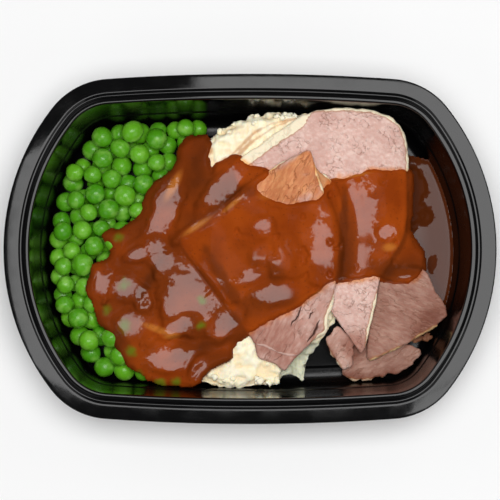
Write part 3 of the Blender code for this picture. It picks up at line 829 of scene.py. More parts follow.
# the bed, rounded down to the mash's edge, with a low tail at the front
def mashTop(p):
    rise = np.sqrt(smoothStep(0.0, mash["round"], depthIn(mashOutline, p)))
    rounded = mash["edge"] + (1 - mash["edge"]) * rise
    tail = smoothStep(12, 22, p[..., 0]) * smoothStep(-40, -50, p[..., 1])
    top = bed(p) * rounded
    return top + (mash["tailHeight"] - top) * tail


# how far each point of closed rings moves along the surface's normal, from the cross product of
# the steps along a ring and from ring to ring
def pushOut(rings, amount):
    along = np.roll(rings, -1, 1) - np.roll(rings, 1, 1)
    normal = np.cross(along, np.gradient(rings, axis=0))
    normal /= np.maximum(np.linalg.norm(normal, axis=-1, keepdims=True), 1e-9)
    return rings + normal * amount[..., None]


# how much of the meat lies over points: 1 well inside a slice's outline, 0 well outside all
def coveredByMeat(p, margin=(-1.5, 1.0)):
    return np.max([smoothStep(*margin, depthIn(outline, p)) for outline, *_ in slices.values()], axis=0)


# distance to a bent line
def awayFrom(line, p):
    path = np.array(line, float)
    loop = np.vstack([path, path[-2:0:-1]])
    return np.abs(nearestOnLoop(loop, p)[1])


# rings from the foot up the side and over the top; every point is moved out by lumps of three sizes
# and by two grains, less where meat or gravy lies over it
def makeMash(finish):
    edge = smoothLoop(mashOutline, mash["columns"])
    hub = np.array(mash["centre"], float)
    edge = hub + (edge - hub) * (1 + 0.01 * roughNoise(edge, 5.0, 21, 3))[:, None]
    sideShare = np.linspace(mash["foot"], 1.0, mash["sideRings"])
    topShare = 1 - np.linspace(0, 0.985, mash["rings"]) ** 1.25
    share = np.concatenate([sideShare, topShare[1:]])
    flat = hub + (edge - hub)[None] * share[:, None, None]
    top = mashTop(flat)
    sideClimb = np.linspace(0, 1, mash["sideRings"]) ** 0.7
    climb = np.concatenate([sideClimb, np.ones(mash["rings"] - 1)])[:, None]
    low = tray["panelTop"] + layout["gap"]
    rings = np.dstack([flat, low + (top - low) * climb])
    amount = 0
    for k, (size, height) in enumerate(mash["lumps"]):
        amount = amount + height * (1.3 * np.abs(latticeNoise(rings, size, 30 + k)) - 0.5)
    amount += sum(height * latticeNoise(rings, size, 40 + k)
                  for k, (size, height) in enumerate(mash["grains"]))
    cover = np.maximum(coveredByMeat(flat), 0.9 * smoothStep(-0.5, 1.5, depthIn(gravyOutline, flat)))
    amount = amount * (1 - cover) - 0.25 * cover
    amount = np.where(rings[..., 2] < 4.0, np.minimum(amount, 0), amount)
    rings = pushOut(rings, amount)
    # painted shade: how far each point sinks into a crease between lumps, for a darker colour there
    creaseShade = np.append(smoothStep(0.05, -0.95, amount).ravel(), [0, 0])
    points, faces = ringBody(rings, (*hub, low), (*hub, float(mashTop(hub[None])[0]) - 0.3))
    p = points[:, :2]
    rough = 0.5 * roughNoise(p, 4.0, 12)
    streak = np.max([smoothStep(1.1, 0.1, awayFrom(line, p) + rough) for line in mash["streaks"]], axis=0)
    soak = smoothStep(-2.2, 0.6, depthIn(gravyOutline, p) + 0.9 * roughNoise(p, 5.0, 14))
    # painted shade over the low tail at the front, set by place
    shade = smoothStep(12, 16, p[:, 0]) * smoothStep(-40, -44, p[:, 1])
    values = {"stain": np.clip(0.75 * streak + 0.9 * soak, 0, 1), "shade": shade, "creaseShade": creaseShade}
    addPiece("mash_visual", points, faces, finish, ["mash"], values)


# loose crumbs of mash: a rough ball of 5 rings and 8 columns, repeated
def makeMashCrumbs(finish):
    rng = np.random.default_rng(17)
    count = mash["crumbs"]
    loop = smoothLoop(mashOutline, 600)
    front = loop[(loop[:, 1] < -50) & (loop[:, 0] < 15) | (loop[:, 1] > 48) & (loop[:, 0] < 26)]
    spot = front[rng.integers(0, len(front), count)]
    hub = np.array(mash["centre"], float)
    inward = rng.uniform(0.93, 0.99, count)
    flat = hub + (spot - hub) * inward[:, None]
    height = mashTop(flat) + rng.uniform(-0.6, 0.3, count)
    size = rng.uniform(*mash["crumbSize"], count)
    points, faces = unitBall(5, 8)
    lumps = latticeNoise(points[None] + rng.uniform(-50, 50, (count, 1, 3)), 0.7, 2)
    wild = points[None] * (1 + 0.7 * lumps)[..., None]
    world = (np.column_stack([flat, height])[:, None] + wild * size[:, None, None]).reshape(-1, 3)
    plain = {key: np.zeros(len(world)) for key in ("stain", "shade", "creaseShade")}
    addPiece("mash_crumbs", world, repeatFaces(faces, len(points), count), finish, (), plain)


# cream, with a fine grain, darker tan painted shade in the creases between lumps, orange-brown where
# gravy has soaked in, and grey-green painted shade over the low tail
def mashFinish():
    look = Finish("mashedPotato", Roughness=0.75, IOR=1.38, Subsurface_Weight=0.25,
                  Subsurface_Scale=0.0015, Subsurface_Radius=(1.0, 0.7, 0.4))
    at = place(look)
    body = mixColour(look, patches(look, at, 140.0, 0.35, 0.7), *mash["cream"])
    # painted shade: darker tan in the creases
    body = mixColour(look, times(look, stored(look, "creaseShade"), 0.5), body, mash["creaseShadeColour"])
    # painted shade: grey-green over the low tail
    body = mixColour(look, stored(look, "shade"), body, mash["tailShadeColour"])
    body = mixColour(look, times(look, stored(look, "stain"), 0.9), body, mash["soaked"])
    look.feed(body, "Base Color")
    look.feed(bump(look, grain(look, at, 520.0, 0.5), 0.5, 0.6), "Normal")
    return look.material


meat = {
    "edgeRound": 1.0,
    "belowRings": 8,
    "edgeRings": 7,
    "topRings": 64,
    "ragged": {"slice_base": 1.0, "meat_scrap": 1.3, "slice_right": 0.55, "slice_low": 0.8},
    "usualRagged": 0.35,
    "notchFrom": 0.8,  # slices more ragged than this also have notches
    "notch": 0.8,
    "wave": 0.45,
    "waveSize": 17.0,
    "droop": 0.5,
    "droopWidth": 1.6,
    # centre, half length, half width and turn of places stained by gravy, and of places darkened with painted
    # shade
    "stained": [(17, 29, 17, 9, 10), (24, 37, 9, 6, 40)],
    "brown": [
        (13, -42, 24, 11, -30), (47, -43, 6, 7, 0), (82, -30, 14, 7, 40), (60, -58, 22, 4, 5),
        (36, -48, 4, 9, 0),
    ],
    "vein": (0.30, 0.13, 0.08),
    "insideFat": (0.42, 0.17, 0.06),
    "wetTint": (1.0, 0.62, 0.30),
    "shadeTint": (0.64, 0.49, 0.44),
    # painted shade: the near-black colour inside the knife cuts
    "cut": (0.045, 0.012, 0.006),
    "cutDepth": 2.0,
    "ridgeHeight": 1.5,
    "cutWander": 0.003,  # in metres
}
# stretches of each slice's edge that carry fat, each from one point to the next anticlockwise,
# and the fat's width
fatEdges = {
    "slice_back": [((72, 8), (27, 62), 1.2), ((29, 62.5), (-8, 37), 4.6), ((52, -45), (57.5, -17), 1.1)],
    "slice_under": [((40, 25), (31.5, 36), 0.9)],
    "slice_front": [((27, -43), (38.6, -17), 1.6), ((39.5, 5), (28, 40), 0.9), ((20, 42), (-32, 4), 0.5)],
    "slice_right": [((54, -49), (70, -43), 0.8), ((73, -42), (86, -34), 1.1)],
    "slice_base": [((44, -57), (62, -58), 0.5)],
    "slice_low": [((35, -42), (42, -54), 0.5)],
    "meat_scrap": [],
}


# distance in from the stretches of an edge that carry fat, less each stretch's own width, so that
# fat lies where the value is below 0
def fatDepth(outline, stretches, p):
    loop = smoothLoop(outline, 240)
    near, depth = nearestOnLoop(loop, p)
    at = np.linalg.norm(near[..., None, :] - loop, axis=-1).argmin(-1) / len(loop)
    best = np.full(depth.shape, 6.0)
    for start, end, width in stretches:
        first, last = [np.linalg.norm(loop - spot, axis=1).argmin() / len(loop) for spot in (start, end)]
        span = (last - first) % 1.0
        past = (at - first) % 1.0
        inside = smoothStep(0, 0.03, past) * smoothStep(span, span - 0.03, past) * (past < span)
        best = np.minimum(best, depth - width * inside + 6 * (inside == 0))
    return best


# the slow wave that lifts every slice alike, so that they keep their gaps
def sliceWave(p):
    return meat["wave"] * latticeNoise(p, meat["waveSize"], 60)


# thickness of a slice at a distance in from its edge, where it is a little less
def sliceThickness(depth):
    return layout["meat"] - meat["droop"] * np.exp(-depth / meat["droopWidth"])


# rings drawn in towards a hub: out along the underside, round a half-round edge, and in over the top
def makeSlice(name, finish, seed):
    outline, under, hub, columns = slices[name]
    hub = np.array(hub, float)
    edge = smoothLoop(outline, columns)
    away = edge - hub
    reach = np.linalg.norm(away, axis=1)
    unit = away / reach[:, None]
    ragged = meat["ragged"].get(name, meat["usualRagged"])
    reach = reach + ragged * (roughNoise(edge, 4.0, seed, 3) - 0.3)
    if ragged > meat["notchFrom"]:
        reach = reach - meat["notch"] * smoothStep(0.2, 0.7, latticeNoise(edge, 2.2, seed + 3))
    below, over = meat["belowRings"], meat["topRings"]
    half = np.linspace(-1.2, 1.2, meat["edgeRings"])
    inward = 1 - np.linspace(0, 0.97, over) ** 1.3
    share = np.concatenate([np.linspace(0.08, 1, below), np.ones(len(half)), inward])
    out = np.concatenate([np.zeros(below), np.cos(half), np.zeros(over)])
    up = np.concatenate([-np.ones(below), np.sin(half), np.ones(over)])
    stretch = share[:, None] * (reach - meat["edgeRound"]) + out[:, None] * meat["edgeRound"]
    flat = hub + unit[None] * stretch[..., None]
    thick = sliceThickness(np.maximum(reach - stretch, 0))
    rings = np.dstack([flat, under(flat) + sliceWave(flat) + thick * (1 + up[:, None]) / 2])
    rough = 0.12 * roughNoise(flat * (1, 2.2), 3.0, seed + 5, 3)
    rings = pushOut(rings, np.where((up == 1)[:, None], rough, 0))
    low = float(under(hub[None])[0])
    points, faces = ringBody(rings, (*hub, low), (*hub, low + layout["meat"]))
    p = points[:, :2]
    wet = smoothStep(-2.2, 0.5, depthIn(gravyOutline, p) + 1.2 * roughNoise(p, 5.0, 15))
    if name == "slice_front":
        stained = nearPatches(meat["stained"], p) + 0.2 * roughNoise(p, 6.0, 16)
        wet = np.maximum(wet, smoothStep(-0.25, 0.3, stained))
    # painted shade: darker places on the slices where they lie in shadow
    brown = smoothStep(-0.5, 0.7, nearPatches(meat["brown"], p) + 0.3 * roughNoise(p, 7.0, 18))
    values = {"fatDepth": fatDepth(outline, fatEdges[name], p), "wet": wet, "brown": brown}
    addPiece(name + "_visual", points, faces, finish, [name], values)


# veins: thin lines where noise crosses its middle value, kept in some patches
def makeVeinGroup():
    group, given, out = newGroup("veins", "Mask", Place=None, Scale=100.0, Width=0.02)
    noise = addNode(group, "TexNoise", Vector=given["Place"], Scale=given["Scale"], Detail=3.0)
    centred = addMath(group, "SUBTRACT", noise.outputs["Fac"], 0.5)
    size = addNode(group, "Math", {"operation": "ABSOLUTE"}, input0=centred).outputs[0]
    line = addStep(group, size, given["Width"], 0.0)
    half = addMath(group, "MULTIPLY", given["Scale"], 0.6)
    where = addNode(group, "TexNoise", Vector=given["Place"], Scale=half, Detail=2.0)
    kept = addStep(group, where.outputs["Fac"], 0.44, 0.58)
    group.links.new(addMath(group, "MULTIPLY", line, kept), out["Mask"])
    return group


# cut: 1 along a straight line between two points seen from above, falling to 0 at a width that
# tapers to both ends
def makeCutGroup():
    group, given, out = newGroup("cut", "Mask", Place=None, From=None, To=None, Width=0.0006)

    def vector(operation, one, other):
        node = addNode(group, "VectorMath", {"operation": operation}, input0=one, input1=other)
        return node.outputs["Value" if operation == "DOT_PRODUCT" else "Vector"]

    flat = vector("MULTIPLY", given["Place"], (1.0, 1.0, 0.0))
    along = vector("SUBTRACT", given["To"], given["From"])
    offset = vector("SUBTRACT", flat, given["From"])
    reach, square = vector("DOT_PRODUCT", offset, along), vector("DOT_PRODUCT", along, along)
    share = addMath(group, "DIVIDE", reach, square)
    share.node.use_clamp = True
    near = addNode(group, "VectorMath", {"operation": "SCALE"}, input0=along, Scale=share).outputs[0]
    away = addNode(group, "VectorMath", {"operation": "LENGTH"}, input0=vector("SUBTRACT", offset, near))
    taper = addMath(group, "MULTIPLY", share, addMath(group, "SUBTRACT", 1.0, share))
    wide = addMath(group, "MULTIPLY", addMath(group, "MULTIPLY", taper, 4.0), given["Width"])
    group.links.new(addStep(group, away.outputs["Value"], wide, 0.0), out["Mask"])
    return group


veinGroup = makeVeinGroup()
cutGroup = makeCutGroup()

# each slice's own colours, the turn of its fibres in degrees, and what else sets it apart; a cut or a
# ridge goes from one point to another and has a width
roasts = {
    "slice_back": dict(name="lightRoast", lean=(0.68, 0.43, 0.365), pale=(0.86, 0.66, 0.59),
                       dark=(0.54, 0.30, 0.25), fibreTurn=150, stretch=0.8, veinDepth=0.5),
    "slice_under": dict(name="stainedRoast", lean=(0.50, 0.21, 0.08), pale=(0.62, 0.34, 0.16),
                        dark=(0.38, 0.13, 0.04), fibreTurn=120, veinDepth=0.25),
    "slice_front": dict(name="frontRoast", lean=(0.58, 0.33, 0.27), pale=(0.80, 0.60, 0.53),
                        dark=(0.45, 0.23, 0.18), fibreTurn=60,
                        cuts=(((18.4, -35.2), (23.6, -25.6), 0.8), ((26, -42.5), (32.2, -31.5), 1.0),
                              ((26.2, -31.2), (28.4, -27.8), 0.5)),
                        ridges=(((2.5, -42.3), (13, -46.4), 1.0), ((12, -46.2), (22, -47.8), 0.9))),
    "slice_right": dict(name="darkRoast", lean=(0.36, 0.175, 0.13), pale=(0.50, 0.31, 0.24),
                        dark=(0.24, 0.10, 0.07), fibreTurn=-22, fat=(0.62, 0.43, 0.22)),
    "slice_low": dict(name="lowRoast", lean=(0.60, 0.36, 0.29), pale=(0.78, 0.57, 0.49),
                      dark=(0.45, 0.23, 0.18), fibreTurn=60),
    "slice_base": dict(name="baseRoast", lean=(0.37, 0.19, 0.14), pale=(0.52, 0.33, 0.26),
                       dark=(0.24, 0.105, 0.075), fibreTurn=35),
    "meat_scrap": dict(name="scrapRoast", lean=(0.22, 0.09, 0.045), pale=(0.40, 0.20, 0.10),
                       dark=(0.12, 0.04, 0.02), fibreTurn=70),
}


# lean meat with stretched fibres, pale and dark mottling, brown veins, cream fat at the edge with a
# brown line inside it, orange where it is wet with gravy, darker places of painted shade, knife cuts
# painted near-black as the shade inside them, and ridges painted pale as light on their raised edges
def meatFinish(name, lean, pale, dark, fibreTurn, stretch=0.3, veinDepth=0.6, fat=(0.90, 0.79, 0.58),
               cuts=(), ridges=()):
    look = Finish(name, Roughness=0.46, IOR=1.38, Subsurface_Weight=0.12, Subsurface_Scale=0.0015,
                  Subsurface_Radius=(1.0, 0.4, 0.3))
    at = place(look)
    along = {"Rotation": (0, 0, math.radians(fibreTurn)), "Scale": (1 / stretch, 1.0, 1.0)}
    fibre = look.add("Mapping", {"vector_type": "TEXTURE"}, Vector=at, **along).outputs[0]
    streaks = patches(look, fibre, 700.0, 0.36, 0.68, 5.0)
    mottle = patches(look, at, 110.0, 0.36, 0.66, 4.0)
    fleck = patches(look, at, 620.0, 0.60, 0.72, 2.0)
    vein = look.add("Group", {"node_tree": veinGroup}, Place=fibre, Scale=310.0, Width=0.026).outputs["Mask"]
    body = mixColour(look, times(look, streaks, 0.6), lean, pale)
    body = mixColour(look, times(look, mottle, 0.5), body, dark)
    body = mixColour(look, times(look, fleck, 0.35), body, pale)
    body = mixColour(look, times(look, vein, veinDepth), body, meat["vein"])
    # fat, whose edge wanders by a millimetre each way, and the line inside it
    wander = look.add("TexNoise", Vector=at, Scale=320.0, Detail=3.0).outputs["Fac"]
    wander = look.add("MapRange", Value=wander, To_Min=-1.0, To_Max=1.0).outputs[0]
    depth = addMath(look.tree, "ADD", stored(look, "fatDepth"), wander)
    line = addStep(look.tree, depth, 1.0, 0.2)
    body = mixColour(look, times(look, line, 0.55), body, meat["insideFat"])
    body = mixColour(look, addStep(look.tree, depth, 0.25, -0.15), body, fat)
    body = mixColour(look, stored(look, "wet"), body, meat["wetTint"], "MULTIPLY")
    # painted shade: the darker places multiply the colour down
    body = mixColour(look, stored(look, "brown"), body, meat["shadeTint"], "MULTIPLY")
    height = addMath(look.tree, "SUBTRACT", grain(look, fibre, 900.0, 0.3), vein)
    # painted shade along the knife cuts and painted light along the ridges, each with its bump
    strokes = [(*cut, meat["cut"], 1.0, -meat["cutDepth"]) for cut in cuts]
    strokes += [(*ridge, pale, 0.5, meat["ridgeHeight"]) for ridge in ridges]
    for start, end, width, colour, share, rise in strokes:
        reach = (meat["cutWander"], meat["cutWander"], 0.0)
        noise = look.add("TexNoise", Vector=at, Scale=180.0).outputs["Color"]
        bent = look.add("VectorMath", {"operation": "MULTIPLY_ADD"}, input0=reach, input1=noise, input2=at)
        back = look.add("VectorMath", {"operation": "SUBTRACT"}, input0=bent.outputs[0],
                        input1=(reach[0] / 2, reach[1] / 2, 0.0))
        ends = {"From": (*(np.array(start) * mm), 0), "To": (*(np.array(end) * mm), 0)}
        stroke = look.add("Group", {"node_tree": cutGroup}, Place=back.outputs[0], Width=width * mm, **ends)
        mask = stroke.outputs["Mask"]
        body = mixColour(look, times(look, mask, share), body, colour)
        height = addMath(look.tree, "ADD", height, times(look, mask, rise))
    look.feed(body, "Base Color")
    look.feed(bump(look, height, 0.35, 0.7), "Normal")
    return look.material


# the edge of the coat, seen from above
gravyOutline = [
    (71.8, 34.5), (60.5, 35.6), (50.5, 34.5), (42.5, 32), (37, 30.5), (32, 24), (24, 20.5), (15, 20.5),
    (9, 22), (3.5, 26.5), (4, 30.5), (8.5, 34), (2, 37), (-8, 41), (-15.5, 38), (-17.5, 34.5), (-19, 41),
    (-17.8, 46.5), (-21, 50.5), (-27.5, 50.5), (-31.5, 47), (-32.5, 40), (-38, 33.5), (-43, 29.5),
    (-47, 24), (-48, 18.5), (-52, 13), (-59, 9), (-66, 7), (-63, 1), (-64, -5), (-71.5, -9),
    (-72.5, -19.5), (-69.5, -27), (-68, -33), (-62.5, -39), (-60, -45.5), (-55.5, -51), (-47, -56),
    (-42, -59.5), (-33, -60.6), (-26, -60), (-21.5, -56), (-15, -51.5), (-9.5, -49), (-9.5, -44),
    (-4, -39), (1.5, -36.3), (10, -32), (22, -25.5), (30.5, -19.5), (37.5, -14.5), (46, -13.6),
    (57, -12.2), (63, -14), (71, -15), (76, -12), (78.5, -8), (78, -3.5), (75, 2), (72, 8), (72.4, 21),
]
gravy = {
    "cell": 0.55,
    "from": (-77, -65),
    "to": (83, 55),
    "film": 0.8,
    "level": 0.028,  # the film over the meat thickens towards the front
    "edgeWidth": 2.2,
    "sink": 0.9,
    "deepSink": 2.2,
    "least": 0.35,  # it stands at least this far above the food
    "drop": 1.4,  # steepest fall over meat, height for each unit across
    "peaDrop": 0.3,
    "ripple": 0.34,
    "rippleSize": 17.0,
    # a plate is tipped so that it mirrors the light at plateAim, along Y: level, it would mirror the
    # place mirrorScale times its own Y plus mirrorShift, and mirrorTurn further for a slope of 1
    "plateAim": 25.0,
    "mirrorScale": 2.06,
    "mirrorShift": 49.0,
    "mirrorTurn": 1800.0,
    "plateLift": 0.35,
    "plateOverMeat": 11.0,  # longer ones follow the meat
    "plateRipple": 0.08,
    "brown": ((0.235, 0.036, 0.0032), (0.33, 0.055, 0.0045)),
    "deepBrown": (0.125, 0.024, 0.004),
    "darkBrown": (0.045, 0.0115, 0.003),
    "thinOrange": (0.47, 0.15, 0.022),
    "specks": (0.06, 0.014, 0.004),
    "overPeas": (0.105, 0.16, 0.008),
}
# parts of the coat that lie flat and glossy: centre, half length, half width, turn
glossPatches = [
    (48.5, 8, 23, 8.0, 88), (32.5, -2, 17, 4.6, 94), (6, 10.5, 4, 3, 0), (5.5, -3, 5, 4, 60),
    (15, -4, 7, 4, 70), (0, -12, 6, 3.2, 20), (12, -20, 10, 4.2, 10), (-15, 15.5, 16, 3.0, 33),
    (-12, 28, 11, 4.2, 48), (-39.5, 18, 15, 5.6, 70), (-40.5, -3, 7, 4.6, 120), (-24, -18, 13, 11, 110),
    (-31, -24, 8, 9, 0), (-10.5, -33, 8, 4.5, 40), (-37, -50, 11, 4.6, 8), (-23, -54, 5, 3, 60),
    (-66.5, -13, 7, 3.6, 75), (-57, -17, 5, 4.6, 20), (-55, -34, 6, 5.0, 30), (-51, -2, 4.5, 2.6, 20),
    (-49, -22, 5, 3, 110), (68, -13.5, 6, 1.6, 10), (62, 8, 4, 3, 0), (-33, -35, 7, 3, 20),
]
# folds in the coat, plates tipped up on one side: centre, radius, rise, and where it is highest
folds = [
    (-29, -23, 17.5, 1.3, -10), (-46, -7.5, 15.5, 1.1, 65), (-59, -19, 9.0, 0.7, 120),
    (-36, -50, 10.0, 0.8, 90),
]
# places where peas show green through thin gravy: centre and radius
thinOverPeas = [
    (-57.5, -16, 4.0), (-65, -27, 3.4), (-57, -34.5, 4.6), (-54, -46, 3.4), (-22, -23, 3.0),
    (-21.5, -34, 3.2), (-41, -60.5, 3.2), (-60, 6, 3.0), (-33, -60, 3.6), (-50, -57, 3),
]
# deeper, darker places: centre, half length, half width, turn
thickPatches = [
    (-22, 38, 14, 5.5, 78), (-10, 21, 13, 3.0, 38), (2, 27, 9, 3, 20), (66, -10, 12, 5, 0),
    (-46, -14, 12, 2.2, 60), (-12, -14, 16, 2.4, 120), (-20, -44, 14, 2.6, 20), (42, 10, 22, 1.6, 88),
    (-5, -30, 12, 4, 40), (-60, -42, 12, 4, 120),
]
# thin bright places: centre, half length, half width, turn
thinPatches = [
    (63, 1, 4.0, 2.4, 10), (-35.5, -39, 4.6, 1.8, 5), (-35, 29, 9, 2.6, 62), (-24, 10.5, 9, 1.7, 33),
    (-8, 20, 7, 1.4, 38), (44, 33, 12, 1.2, 8), (12, 25, 9, 3, 10), (30, -21, 10, 1.6, 38),
    (-42, -36, 9, 2, -20),
]


# 1 at the middle of any of a list of turned ellipses and 0 on their edges, negative outside
def nearPatches(patchList, p):
    best = np.full(p.shape[:-1], -1.0)
    for x, y, long, wide, turn in patchList:
        c, s = math.cos(math.radians(turn)), math.sin(math.radians(turn))
        dx, dy = p[..., 0] - x, p[..., 1] - y
        best = np.maximum(best, 1 - np.hypot((dx * c + dy * s) / long, (dy * c - dx * s) / wide))
    return best


# the lowest surface over a field that falls nowhere steeper than slope, spread step by step
def drape(field, slope, cell, steps):
    high = field.copy()
    shifts = [(dr, dc) for dr in (-1, 0, 1) for dc in (-1, 0, 1) if dr or dc]
    for _ in range(steps):
        for shift in shifts:
            high = np.maximum(high, np.roll(high, shift, (0, 1)) - slope * cell * math.hypot(*shift))
    return high


# outline of the gravy pool: along the right wall at its own level, then back under the slices
def poolOutline(past):
    wall = trayRing(float(wallInset(layout["poolTop"])) - past, tray["around"])
    beside = wall[(wall[:, 0] > 80) & (wall[:, 1] > -30) & (wall[:, 1] < 42)]
    hidden = [(79, -33), (66, -31), (58, -20), (57, 4), (57, 28), (62, 43), (72.5, 44.5)]
    return np.vstack([beside[np.argsort(-beside[:, 1])], hidden])


# the highest point of all the food under points: peas as balls, mash, slices and pool
def foodTop(p):
    high = np.minimum(floorUnder(p), layout["poolTop"] - 0.3)
    for (x, y, z), radius in zip(peaCentre, peaRadius):
        away = (p[..., 0] - x) ** 2 + (p[..., 1] - y) ** 2
        ball = z + np.sqrt(np.maximum(radius ** 2 - away, 0))
        high = np.where(away < radius ** 2, np.maximum(high, ball), high)
    high = np.where(depthIn(mashOutline, p) > 0, np.maximum(high, mashTop(p)), high)
    wave = sliceWave(p)
    for outline, under, *_ in slices.values():
        depth = depthIn(outline, p)
        top = under(p) + wave + sliceThickness(np.maximum(depth, 0))
        high = np.where(depth > -0.5, np.maximum(high, top), high)
    return high


# 1 close to the edges of slices that show through the coat, and 0 from a few millimetres away
def nearTopEdges(p):
    shown, near = np.ones(p.shape[:-1]), np.zeros(p.shape[:-1])
    buried = smoothStep(5, 0, p[..., 1]) * smoothStep(14, 8, p[..., 0])  # one edge lies deep in the gravy
    for outline in (frontOutline, underOutline, backOutline, rightOutline):
        depth = depthIn(outline, p)
        near = np.maximum(near, shown * smoothStep(5.5, 2.0, np.abs(depth)) * (1 - buried))
        shown = shown * smoothStep(1.0, -1.0, depth)
    return near


# height of the coat before ripples and folds: a film that follows the meat, and over peas and mash
# the food's height blurred and filled level, all rounded down to the coat's edge
def coatOver(p, food, onMeat, depth):
    cell = gravy["cell"]
    draped = drape(food, gravy["drop"], cell, 30)
    close, soft = blurField(draped, 0.75 / cell), blurField(draped, 3.4 / cell)
    overMeat = np.maximum(soft + (close - soft) * nearTopEdges(p), soft)
    filled = drape(food, gravy["peaDrop"], cell, 22)
    level, bumpy = blurField(filled, 7.5 / cell) + 0.5, blurField(filled, 2.6 / cell)
    overPeas = bumpy + 0.72 * (level - bumpy) * smoothStep(1.0, 9.0, depth)
    base = overPeas + (overMeat - overPeas) * onMeat
    full = np.sqrt(np.clip(1 - (1 - np.clip(depth / gravy["edgeWidth"], 0, 1)) ** 2, 0, 1))
    fill = gravy["level"] * np.clip(35 - p[..., 1], 0, 60) * onMeat
    return base + (gravy["film"] * (1 + 0.25 * latticeNoise(p, 9.0, 55)) + fill) * full


# ripples, which are lower in the glossy parts, and folds, each a round plate that rises to one side
def ripplesAndFolds(p, onMeat):
    flatPart = smoothStep(-0.2, 0.4, nearPatches(glossPatches, p))
    ripple = gravy["ripple"] * (roughNoise(p, gravy["rippleSize"], 52, 2) - 0.1) * (1 - 0.6 * flatPart)
    rough = 2.4 * roughNoise(p, 19.0, 53, 2)
    fold = 0
    for x, y, radius, rise, facing in folds:
        dx, dy = p[..., 0] - x, p[..., 1] - y
        turn = math.radians(facing)
        toward = (dx * math.cos(turn) + dy * math.sin(turn)) / radius
        plate = smoothStep(1.3, -1.3, np.hypot(dx, dy) - radius - rough)
        fold = fold + rise * plate * np.clip(0.45 + 0.55 * toward, 0, 1)
    return ripple + fold * (1 - 0.6 * onMeat)


# the surface drawn towards a tipped plane in each glossy part, at the part's own mean height
def withPlates(p, top, onMeat, inside):
    rough = 0.2 * roughNoise(p, 6.0, 54, 3)
    ripple = gravy["plateRipple"] * roughNoise(p, 8.0, 56, 2)
    for patch in glossPatches:
        firm = onMeat if patch[2] > gravy["plateOverMeat"] else 0.25 * onMeat
        weight = smoothStep(-0.85, -0.05, nearPatches([patch], p) + rough) * (1 - firm)
        if weight.sum() > 20:
            middle = (p * weight[..., None]).sum((0, 1)) / weight.sum()
            mirrored = gravy["mirrorScale"] * middle[1] + gravy["mirrorShift"]
            tip = (mirrored - gravy["plateAim"]) / gravy["mirrorTurn"]
            plate = (top * weight).sum() / weight.sum() + gravy["plateLift"] + tip * (p[..., 1] - middle[1])
            top = top + (plate + ripple - top) * weight * inside
    return top


# what the coat's colours and gloss depend on: how deep it is, its thin and glossy places, and peas
def coatValues(p, top, food, onMeat):
    film = np.clip(blurField(top - food, 1.4 / gravy["cell"]) / 3.5, 0, 1)
    overSoft = np.clip(0.8 + 0.25 * roughNoise(p, 13.0, 58, 2), 0, 1)
    film = overSoft + (film - overSoft) * onMeat
    film = film + 0.5 * smoothStep(-0.6, 0.8, nearPatches(thickPatches, p) + 0.3 * roughNoise(p, 5.0, 59, 2))
    green = np.zeros(food.shape)
    for x, y, radius in thinOverPeas:
        away = np.hypot(p[..., 0] - x, p[..., 1] - y) + 0.9 * roughNoise(p, 3.0, 57, 2)
        green = np.maximum(green, smoothStep(radius, 0.1 * radius, away))
    gloss, thin = nearPatches(glossPatches, p), nearPatches(thinPatches, p)
    green, shine = green * (1 - onMeat), np.ones(gloss.shape)
    return {"gloss": gloss, "shine": shine, "film": film, "thin": thin, "green": green}


# points of a square grid over the box that a piece's dictionary gives
def flatGrid(piece):
    xs, ys = [np.arange(piece["from"][k], piece["to"][k], piece["cell"]) for k in (0, 1)]
    return np.stack(np.meshgrid(xs, ys), axis=-1)


# a sheet over the food, kept above it by a smooth maximum, and sunk into the food beyond its edge
def makeGravy(finish):
    p = flatGrid(gravy)
    food, floor = foodTop(p), floorUnder(p)
    onMeat = blurField((coveredByMeat(p, (-0.5, 0.5)) > 0.5).astype(float), 1.8 / gravy["cell"])
    onMeat = smoothStep(0.25, 0.85, onMeat)
    depth = depthIn(gravyOutline, p, 420) + 0.75 * roughNoise(p, 6.0, 51, 3)
    inside = smoothStep(0.5, 5.0, depth)
    top = coatOver(p, food, onMeat, depth) + ripplesAndFolds(p, onMeat) * inside
    top = withPlates(p, top, onMeat, inside)
    least = food + gravy["least"]
    proud = 0.5 * (top + least + np.sqrt((top - least) ** 2 + 0.5 ** 2))  # a smooth maximum of the two
    sunk = gravy["sink"] * smoothStep(0.3, -1.6, depth) + gravy["deepSink"] * smoothStep(-0.6, -2.4, depth)
    top = top + (proud - top) * smoothStep(0.2, 1.4, depth) - sunk
    top = np.maximum(top, floor + 0.8)
    under = np.minimum(top - 0.4, np.maximum(food - 1.2, floor + 0.3))
    keep = blurField((depth > -1.7).astype(float), 0.6)[:-1, :-1] > 0.5
    points, faces, at = sheetBody(p, top, under, keep)
    values = {key: value.ravel()[at] for key, value in coatValues(p, top, food, onMeat).items()}
    addPiece("gravy_visual", points, faces, finish, ["gravy"], values)


pool = {
    "cell": 0.55,
    "from": (54, -36),
    "to": (97, 47),
    "bottom": 4.5,
    "turnUp": 0.9,
    "turnWidth": 1.1,
    "dropAt": (81, 16),
    "drop": 0.8,
    # centre, half length, half width and turn of a thicker place, and of duller ones
    "thick": [(75, 27, 15, 6, 88)],
    "dull": [(75, 27, 16, 6.5, 88), (81, 16, 4.6, 4.4, 0)],
    "halfDull": [(84, -5, 4, 2, 80)],
    "film": 1.7,
}


